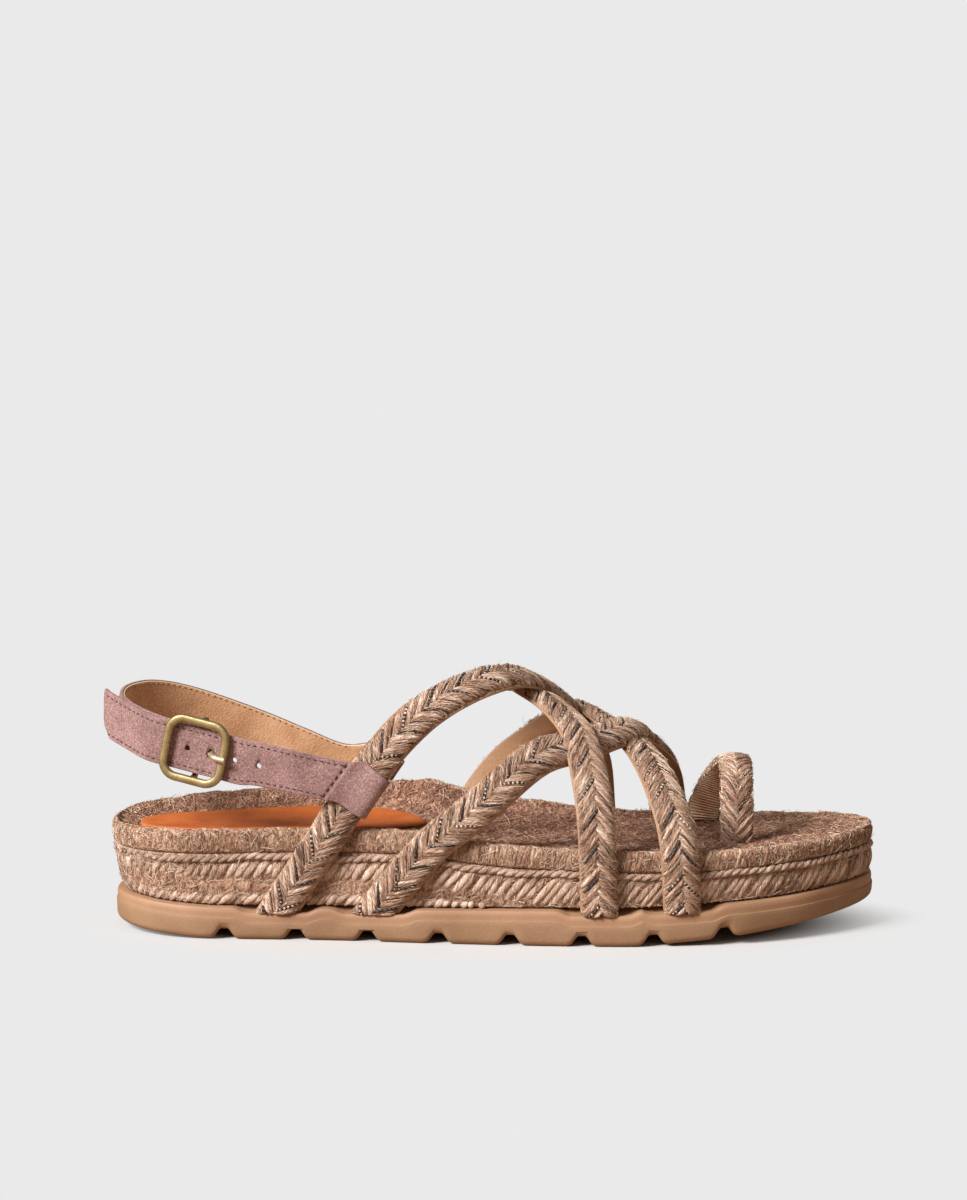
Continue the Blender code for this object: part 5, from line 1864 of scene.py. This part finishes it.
def lane(strap, share, out):
    """Curve along a strap at a share of its half width, at a distance out from its middle."""
    low, middle, high = strap.columns
    curve = middle + (high - low) / 2 * share + ((high + low) / 2 - middle) * share ** 2
    curve = curve + strap.out * np.asarray(out, float).reshape(-1, 1)
    if not strap.tip:
        return curve
    reach = reach_of(middle)
    at = reach + np.interp(share, *zip(*TIP)) * np.maximum(1 - reach / TIP_REACH, 0.0)
    return along_columns(reach, curve, at)


SlabRow = namedtuple("SlabRow", "share inner outer")
SUEDE_SLAB = rows_of(
    SlabRow,
    (-0.995, -0.1, 0.6), (-0.975, -0.3, 0.9), (-0.955, -0.3, 1.0),
    (-0.94, 0.02, 1.0), (-0.5, 0.02, 1.03), (-0.25, 0.02, 1.03),
    (0.0, 0.02, 1.03), (0.5, 0.02, 1.03), (0.94, 0.02, 1.0),
    (0.955, -0.3, 1.0), (0.975, -0.3, 0.9), (0.995, -0.1, 0.6),
)
LINING_SLAB = rows_of(
    SlabRow,
    (-0.95, -0.6, 0.0), (-0.935, -0.95, 0.0), (-0.9, -1.0, 0.0),
    (-0.5, -1.0, 0.0), (0.0, -1.0, 0.0), (0.5, -1.0, 0.0),
    (0.9, -1.0, 0.0), (0.935, -0.95, 0.0), (0.95, -0.6, 0.0),
)
SLAB_EDGE = 0.92


def make_slab(name, strap, slab, material):
    """One layer of a strap, between shares of its half thickness."""
    half = strap.thickness / 2
    past = np.arange(len(half)) - strap.crease - 1
    seam = SEAM_STEP * (past > 0) * np.clip(1 - past / SEAM_FADE, 0.0, 1.0) + SEAM_NOTCH * (past == 0)
    lanes = [lane(strap, row.share, (half + seam) * row.outer) for row in slab]
    lanes += [lane(strap, row.share, half * row.inner) for row in slab[::-1]]
    rings = np.stack(lanes, axis=1)
    points, faces = join_rings(list(rings))
    piece = mesh_object(name, points, faces, material)
    share = [abs(row.share) for row in slab + slab[::-1]]
    mark(piece, "edge", np.tile(np.array(share) > SLAB_EDGE, len(rings)))
    return piece


def cut(piece, tools):
    """Cuts tools out of a piece and removes them."""
    for tool in tools:
        step = piece.modifiers.new(tool.name, "BOOLEAN")
        step.operation = "DIFFERENCE"
        step.solver = "EXACT"
        step.object = tool
    settle(piece)
    for tool in tools:
        bpy.data.objects.remove(tool, do_unlink=True)


def hole_punches():
    punches = []
    for k, place in enumerate(HOLES):
        radius = PRONG_HOLE_RADIUS if place == PRONG_HOLE else HOLE_RADIUS
        ends = [at_buckle(place, -2 * SUEDE_THICK), at_buckle(place, 2 * SUEDE_THICK)]
        points, faces = make_rod(ends, radius, ROD_SIDES)
        punches.append(mesh_object("punch_%d" % k, points, faces))
    return punches


def slot_tool():
    rings = []
    for side in (-SLOT_HALF, SLOT_HALF):
        rings.append([at_buckle(row.forward, row.out, side) for row in SLOT_CORNERS])
    points, faces = join_rings(rings)
    return mesh_object("prong_slot", points, faces)


def make_rod(points, radius, sides):
    """Round rod along a line of points, with softened ends."""
    points = np.array(points)
    tangents = unit(np.gradient(points, axis=0))
    forward, width, out = buckle_axes()
    turns = 2 * np.pi * np.arange(sides) / sides
    rings = []
    for place, tangent in zip(points, tangents):
        guide = width if abs(np.dot(width, tangent)) < WIDTH_SHARE else forward
        first = unit(np.cross(tangent, guide))
        second = np.cross(tangent, first)
        rings.append(place + radius * (np.outer(np.cos(turns), first) + np.outer(np.sin(turns), second)))
    return join_rings(rings)


def make_buckle_frame(material):
    """Rounded square frame of soft oval section, with its bar set back behind the strap."""
    corner = FRAME_CORNER - FRAME_BAR / 2
    hub = FRAME_MIDDLE - corner
    angle = 2 * np.pi * np.arange(FRAME_SECTION_TURNS) / FRAME_SECTION_TURNS
    side = powered(np.cos(angle), FRAME_SECTION_POWER) * FRAME_BAR / 2
    depth = powered(np.sin(angle), FRAME_SECTION_POWER) * FRAME_THICK / 2
    rings = []
    for quarter in range(4):
        bearing = math.radians(90 * quarter + 45)
        hub_forward = math.copysign(hub, math.cos(bearing))
        hub_width = math.copysign(hub, math.sin(bearing))
        for degrees in FRAME_TURNS:
            turn = math.radians(90 * quarter + degrees)
            rings.append([at_buckle(hub_forward + (corner + s) * math.cos(turn), FRAME_OUT + d,
                                    hub_width + (corner + s) * math.sin(turn)) for s, d in zip(side, depth)])
    points, faces = join_rings(rings, closed=True)
    bar = [at_buckle(row.forward, row.out, row.width) for row in BAR_HALF]
    bar += [at_buckle(row.forward, row.out, -row.width) for row in BAR_HALF[::-1]]
    bar_points, bar_faces = make_rod(catmull(bar, BAR_STEPS), BAR_RADIUS, ROD_SIDES)
    shift = len(points)
    faces += [tuple(i + shift for i in face) for face in bar_faces]
    return mesh_object("buckle_frame_brass", np.vstack((points, bar_points)), faces, material)


def make_prong(material):
    """Prong curled round the bar, out through the strap and over the frame's front bar."""
    run = round_bar(BAR_RADIUS + GAP + PRONG_RADIUS, PRONG_CURL)
    run += [at_buckle(*row) for row in PRONG_RUN]
    points, faces = make_rod(catmull(run, PRONG_STEPS), PRONG_RADIUS, ROD_SIDES)
    return mesh_object("buckle_prong_brass", points, faces, material)


def make_stitches(name, lines, material):
    """Rows of stitches along curves."""
    points = []
    edges = []
    for line in lines:
        start = len(points)
        points.extend(line)
        edges.extend((start + i, start + i + 1) for i in range(len(line) - 1))
    carrier = mesh_object(name, points, [], edges=edges)
    return grow(carrier, TREES["stitch"], {
        "Spacing": STITCH_SPACING * MM, "Length": STITCH_LENGTH * MM, "Radius": 2 * STITCH_RADIUS * MM,
        "Material": material})


TREES = {"yarn": yarn_tree(), "stitch": stitch_tree()}
GROUPS = {"fibre": twisted_fibre_group(), "mottle": mottle_group(), "grain": grain_group()}

# Colours, from dark to light
BRAID_COLOURS = paints((60, 35, 24), (150, 110, 86), (192, 155, 130), (250, 234, 218))
ROPE_COLOURS = paints((90, 60, 45), (174, 138, 115), (214, 182, 160), (248, 232, 216))
FELT_COLOURS = paints((94, 62, 46), (164, 124, 99), (201, 163, 138), (244, 222, 200))
RIB_COLOURS = paints((82, 51, 36), (136, 97, 75), (164, 126, 102), (212, 184, 158))
TOP_COLOURS = paints((72, 39, 27), (134, 87, 64), (172, 122, 94), (234, 194, 162))
# The cores' dark jute is painted shade, seen in the gaps between the yarns
SHADE_CORE_COLOURS = paints((52, 31, 21), (78, 50, 35), (100, 68, 49), (124, 90, 68))
ACCENT_COLOURS = paints((24, 13, 11), (42, 24, 20), (196, 172, 154), (236, 222, 208))
FIBRE_COLOURS = paints((120, 80, 56), (192, 154, 124), (248, 232, 212))
TOP_FIBRE_COLOURS = paints((98, 60, 43), (166, 118, 91), (240, 206, 178))
THREAD_COLOURS = paints((134, 80, 54), (240, 174, 134), (255, 230, 196))
THREAD_EDGE = paint(222, 190, 160)
STITCH_COLOURS = paints((58, 40, 42), (86, 62, 62))
LINING_STITCH_COLOURS = paints((150, 112, 76), (190, 150, 108))
SUEDE_COLOURS = paints((100, 71, 68), (140, 107, 103), (180, 147, 142))
SUEDE_SHEEN = paint(214, 184, 176)
LINING_COLOURS = paints((174, 130, 92), (196, 152, 114), (212, 173, 136))
LINING_EDGE = paint(156, 120, 90)
STRAP_LINING_EDGE = paint(224, 196, 164)
SOCK_COLOURS = paints((158, 74, 26), (182, 92, 32), (198, 108, 42))
SOCK_CUT_EDGE = paint(150, 84, 40)
RUBBER_LOWER = paints((132, 101, 74), (144, 112, 84), (155, 123, 95))
RUBBER_UPPER = paints((142, 106, 78), (155, 118, 89), (166, 129, 100))
BRASS_COLOURS = paints((122, 104, 72), (164, 146, 106), (196, 181, 144))
PALE_BRASS_COLOURS = paints((196, 182, 150), (222, 210, 182), (240, 232, 212))
FINISH = {
    "braid": yarn_material("braid_jute", BRAID_COLOURS, 170.0, 700.0, 2.8, 0.6),
    "rope": yarn_material("rope_jute", ROPE_COLOURS, 150.0, 420.0, 4.4, 0.8),
    "rib": yarn_material("whipped_jute", RIB_COLOURS, 170.0, 500.0, 2.4, 0.35),
    "core": yarn_material("shaded_jute", SHADE_CORE_COLOURS, 100.0, 0.0, 2.0, 0.3),
    "mat": felt_material("footbed_felt", FELT_COLOURS, TOP_COLOURS),
    "felt": felt_material("platform_felt", FELT_COLOURS, FELT_COLOURS),
    "accent": accent_material(),
    "fibre": fibre_material("loose_jute", FIBRE_COLOURS),
    "top_fibre": fibre_material("loose_footbed_jute", TOP_FIBRE_COLOURS),
    "threads": thread_lining_material(),
    "stitch": plain_thread_material("dark_stitch", STITCH_COLOURS),
    "lining_stitch": plain_thread_material("pale_stitch", LINING_STITCH_COLOURS),
    "suede": suede_material(),
    "lining": leather_material("tan_lining", LINING_COLOURS, 0.6, 1500.0, 0.3, LINING_EDGE),
    "strap_lining": leather_material("strap_lining", LINING_COLOURS, 0.6, 1500.0, 0.3, STRAP_LINING_EDGE),
    "sock": leather_material("cognac_leather", SOCK_COLOURS, 0.65, 1100.0, 0.14, SOCK_CUT_EDGE),
    "rubber": rubber_material(),
    "brass": brass_material("antique_brass", BRASS_COLOURS),
    "pale_brass": brass_material("pale_brass", PALE_BRASS_COLOURS),
}

# Sole
wall = sole_wall()
show(make_outsole(FINISH["rubber"]), "rubber", "outsole")
show(make_platform_felt(FINISH["felt"]), "jute", "jute_platform")
show(make_ropes(wall, FINISH["rope"]), "jute")
show(make_cord(wall, FINISH["rope"]), "jute")
show(make_footbed(FINISH["mat"]), "footbed_jute", "jute_footbed")
show(make_ribs(wall, FINISH["rib"]), "footbed_jute")
show(make_platform_fuzz(wall, FINISH["fibre"]), "jute")
show(make_rim_fuzz(wall, FINISH["fibre"]), "footbed_jute")
show(make_top_fuzz(FINISH["top_fibre"]), "footbed_jute")
show(make_sock(FINISH["sock"]), "sock_leather", "heel_sock")

# Braided straps and toe loop
paths = {name: strap_path(rows) for name, rows in STRAPS.items()}
for name, path in paths.items():
    style = STYLES[name]
    braid = make_braid("braid_" + name, path, style.arrow, BRAID_HALF, BRAID_CROWN, STRAND_PITCH,
                       FINISH["braid"])
    show(braid, "jute", "upper")
    show(make_accents("dark_threads_" + name, path, style, FINISH["accent"]), "jute")
    core = make_band("braid_core_" + name, path, core_section(BRAID_HALF, BRAID_CROWN), FINISH["core"])
    show(core, "jute")
    section = lining_section(style.rear_lining, style.front_lining)
    show(make_band("strap_lining_" + name, path, section, FINISH["lining"]), "jute")
    fuzz = make_braid_fuzz("braid_fuzz_" + name, FUZZ["braid"], path, style.arrow, BRAID_HALF, BRAID_CROWN,
                           FINISH["fibre"])
    show(fuzz, "jute")
toe_path = loop_path()
loop_crown = BRAID_CROWN * LOOP_SCALE
loop = make_braid("toe_loop_braid", toe_path, 1.0, LOOP_HALF, loop_crown, LOOP_PITCH, FINISH["braid"])
show(loop, "jute", "toe_loop")
show(make_band("toe_loop_core", toe_path, core_section(LOOP_HALF, loop_crown), FINISH["core"]), "jute")
loop_lining = lining_section(LOOP_LINING_HALF, LOOP_LINING_HALF)
show(make_band("toe_loop_lining", toe_path, loop_lining, FINISH["threads"]), "jute")
loop_fuzz = make_braid_fuzz("toe_loop_fuzz", FUZZ["loop"], toe_path, 1.0, LOOP_HALF, loop_crown,
                            FINISH["fibre"])
show(loop_fuzz, "jute")

# Suede straps
outer_run = run_places(FREE_END) + [at_buckle(place, 0.0) for place in BUCKLE_FLAT]
outer_halves = [SUEDE_HALF] * len(outer_run) + [row.half for row in OUTER_RUN]
outer_run += run_places(OUTER_RUN)
outer_strap = strap_ribbon(outer_run, outer_halves, paths["outer_rear"], STRAPS["outer_rear"],
                           OUTER_SLEEVE_GIRTH, 0, 1.0)
curl = BAR_RADIUS + GAP + SKIVED / 2
heel_run = [at_buckle(*row) for row in CURL_TAIL] + round_bar(curl, CURL_TURNS)
heel_run += [at_buckle(place, BAR_BACK + curl) for place in CURL_LEAD]
curled = len(heel_run)
heel_halves = [SUEDE_HALF] * curled + [row.half for row in HEEL_RUN]
heel_run += run_places(HEEL_RUN)
heel_strap = strap_ribbon(heel_run, heel_halves, paths["outer_ball"], STRAPS["outer_ball"],
                          INNER_SLEEVE_GIRTH, curled, -1.0)
for node, strap in (("buckle_strap", outer_strap), ("heel_strap", heel_strap)):
    for layer, slab, finish in (("suede", SUEDE_SLAB, "suede"), ("lining", LINING_SLAB, "strap_lining")):
        piece = make_slab(node + "_" + layer, strap, slab, FINISH[finish])
        cut(piece, hole_punches() if node == "buckle_strap" else [slot_tool()])
        show(piece, "suede", node)
    outside = strap.thickness / 2 + STITCH_OFF
    rows = [lane(strap, share, outside)[TIP_STITCH:strap.crease] for share in STITCH_LINES]
    crossing = np.linspace(*STITCH_LINES, CROSS_STITCHES)
    rows.append([lane(strap, share, outside)[strap.crease] for share in crossing])
    show(make_stitches(node + "_stitches", rows, FINISH["stitch"]), "suede")
    rows = [lane(strap, share, -outside)[TIP_STITCH:strap.crease] for share in LINING_STITCH_LINES]
    show(make_stitches(node + "_lining_stitches", rows, FINISH["lining_stitch"]), "suede")

# Buckle
show(make_buckle_frame(FINISH["brass"]), "brass", "buckle_frame")
show(make_prong(FINISH["pale_brass"]), "brass", "buckle_prong")

# Studio
STUDIO_HALF = 40.0
# Floor colour seen near the shoe, a painted glow farther out that fades its shadow, and a painted warm fill
# colour for bounce rays
FLOOR_SEEN = (0.58, 0.58, 0.58, 1.0)
FLOOR_PAINTED_GLOW = (0.823, 0.823, 0.823, 1.0)
FLOOR_PAINTED_FILL = (0.42, 0.29, 0.21, 1.0)
BLACK = (0.0, 0.0, 0.0, 1.0)
SHADOW_SCALE = (1 / 0.135, 1 / 0.068, 1.0)
SHADOW_FADE = (0.72, 1.14)
SKY_COLOUR = (1.0, 0.84, 0.7, 1.0)
SKY_STRENGTH = 0.31
SUN_STRENGTH = 6.2
SUN_SPREAD = math.radians(24.0)
SUN_TURN = (math.radians(54.0), 0.0, math.radians(-50.0))


def floor_material():
    """Pale floor: to the camera it shows its shadow near the shoe and glows farther out, a painted light
    that fades the shadow; rays that bounce off it see a low warm colour, a painted fill for what stands on
    it.
    """
    material, tree, shader = new_material("studio_floor", 0.9, Emission_Strength=1.0, Specular_IOR_Level=0.0)
    ray = put(tree, "ShaderNodeLightPath").outputs["Is Camera Ray"]
    place = put(tree, "ShaderNodeTexCoord").outputs["Object"]
    oval = put(tree, "ShaderNodeVectorMath", {0: place, 1: SHADOW_SCALE}, operation="MULTIPLY")
    reach = put(tree, "ShaderNodeVectorMath", {0: oval.outputs[0]}, operation="LENGTH").outputs["Value"]
    span = {"Value": reach, "From Min": SHADOW_FADE[0], "From Max": SHADOW_FADE[1]}
    away = put(tree, "ShaderNodeMapRange", span, interpolation_type="SMOOTHSTEP").outputs[0]
    seen = mix_colours(tree, away, FLOOR_SEEN, BLACK)
    shine = mix_colours(tree, away, BLACK, FLOOR_PAINTED_GLOW)
    colour_by(tree, shader, mix_colours(tree, ray, FLOOR_PAINTED_FILL, seen))
    tree.links.new(mix_colours(tree, ray, BLACK, shine), shader.inputs["Emission Color"])
    return material


def make_studio():
    corners = [(x * STUDIO_HALF, y * STUDIO_HALF, 0.0) for x, y in ((-1, -1), (1, -1), (1, 1), (-1, 1))]
    mesh = bpy.data.meshes.new("studio_floor")
    mesh.from_pydata(corners, [], [(0, 1, 2, 3)])
    mesh.materials.append(floor_material())
    floor = bpy.data.objects.new("studio_floor", mesh)
    bpy.context.scene.collection.objects.link(floor)
    world = bpy.data.worlds.new("studio")
    world.use_nodes = True
    sky = world.node_tree.nodes["Background"]
    sky.inputs["Color"].default_value = SKY_COLOUR
    sky.inputs["Strength"].default_value = SKY_STRENGTH
    bpy.context.scene.world = world
    lamp = bpy.data.lights.new("soft_key", "SUN")
    lamp.energy = SUN_STRENGTH
    lamp.angle = SUN_SPREAD
    key = bpy.data.objects.new("soft_key", lamp)
    key.rotation_euler = SUN_TURN
    bpy.context.scene.collection.objects.link(key)


# Camera, from the photograph's scale, height and framing
IMAGE_HEIGHT = 1200.0
PIXELS_PER_METRE = 2973.0
CAMERA_DISTANCE = 1.70
CAMERA_RISE = math.radians(10.0)
AIM_HEIGHT = 0.040
AIM_BELOW_MIDDLE = 205.0
AIM_RIGHT_OF_MIDDLE = 10.5
SENSOR = 36.0
CLIP_END = 200.0


def make_camera():
    focal = PIXELS_PER_METRE * CAMERA_DISTANCE
    lens = bpy.data.cameras.new("photo_camera")
    lens.sensor_width = SENSOR
    lens.lens = SENSOR * focal / IMAGE_HEIGHT
    lens.clip_end = CLIP_END
    camera = bpy.data.objects.new("photo_camera", lens)
    camera.location = (-BOX_MIDDLE[0] * MM - AIM_RIGHT_OF_MIDDLE / PIXELS_PER_METRE,
                       -CAMERA_DISTANCE * math.cos(CAMERA_RISE),
                       AIM_HEIGHT + CAMERA_DISTANCE * math.sin(CAMERA_RISE))
    down = CAMERA_RISE - math.atan(AIM_BELOW_MIDDLE / focal)
    camera.rotation_euler = (math.pi / 2 - down, 0.0, 0.0)
    bpy.context.scene.collection.objects.link(camera)
    bpy.context.scene.camera = camera


make_studio()
make_camera()
bpy.context.scene.view_settings.view_transform = "Standard"
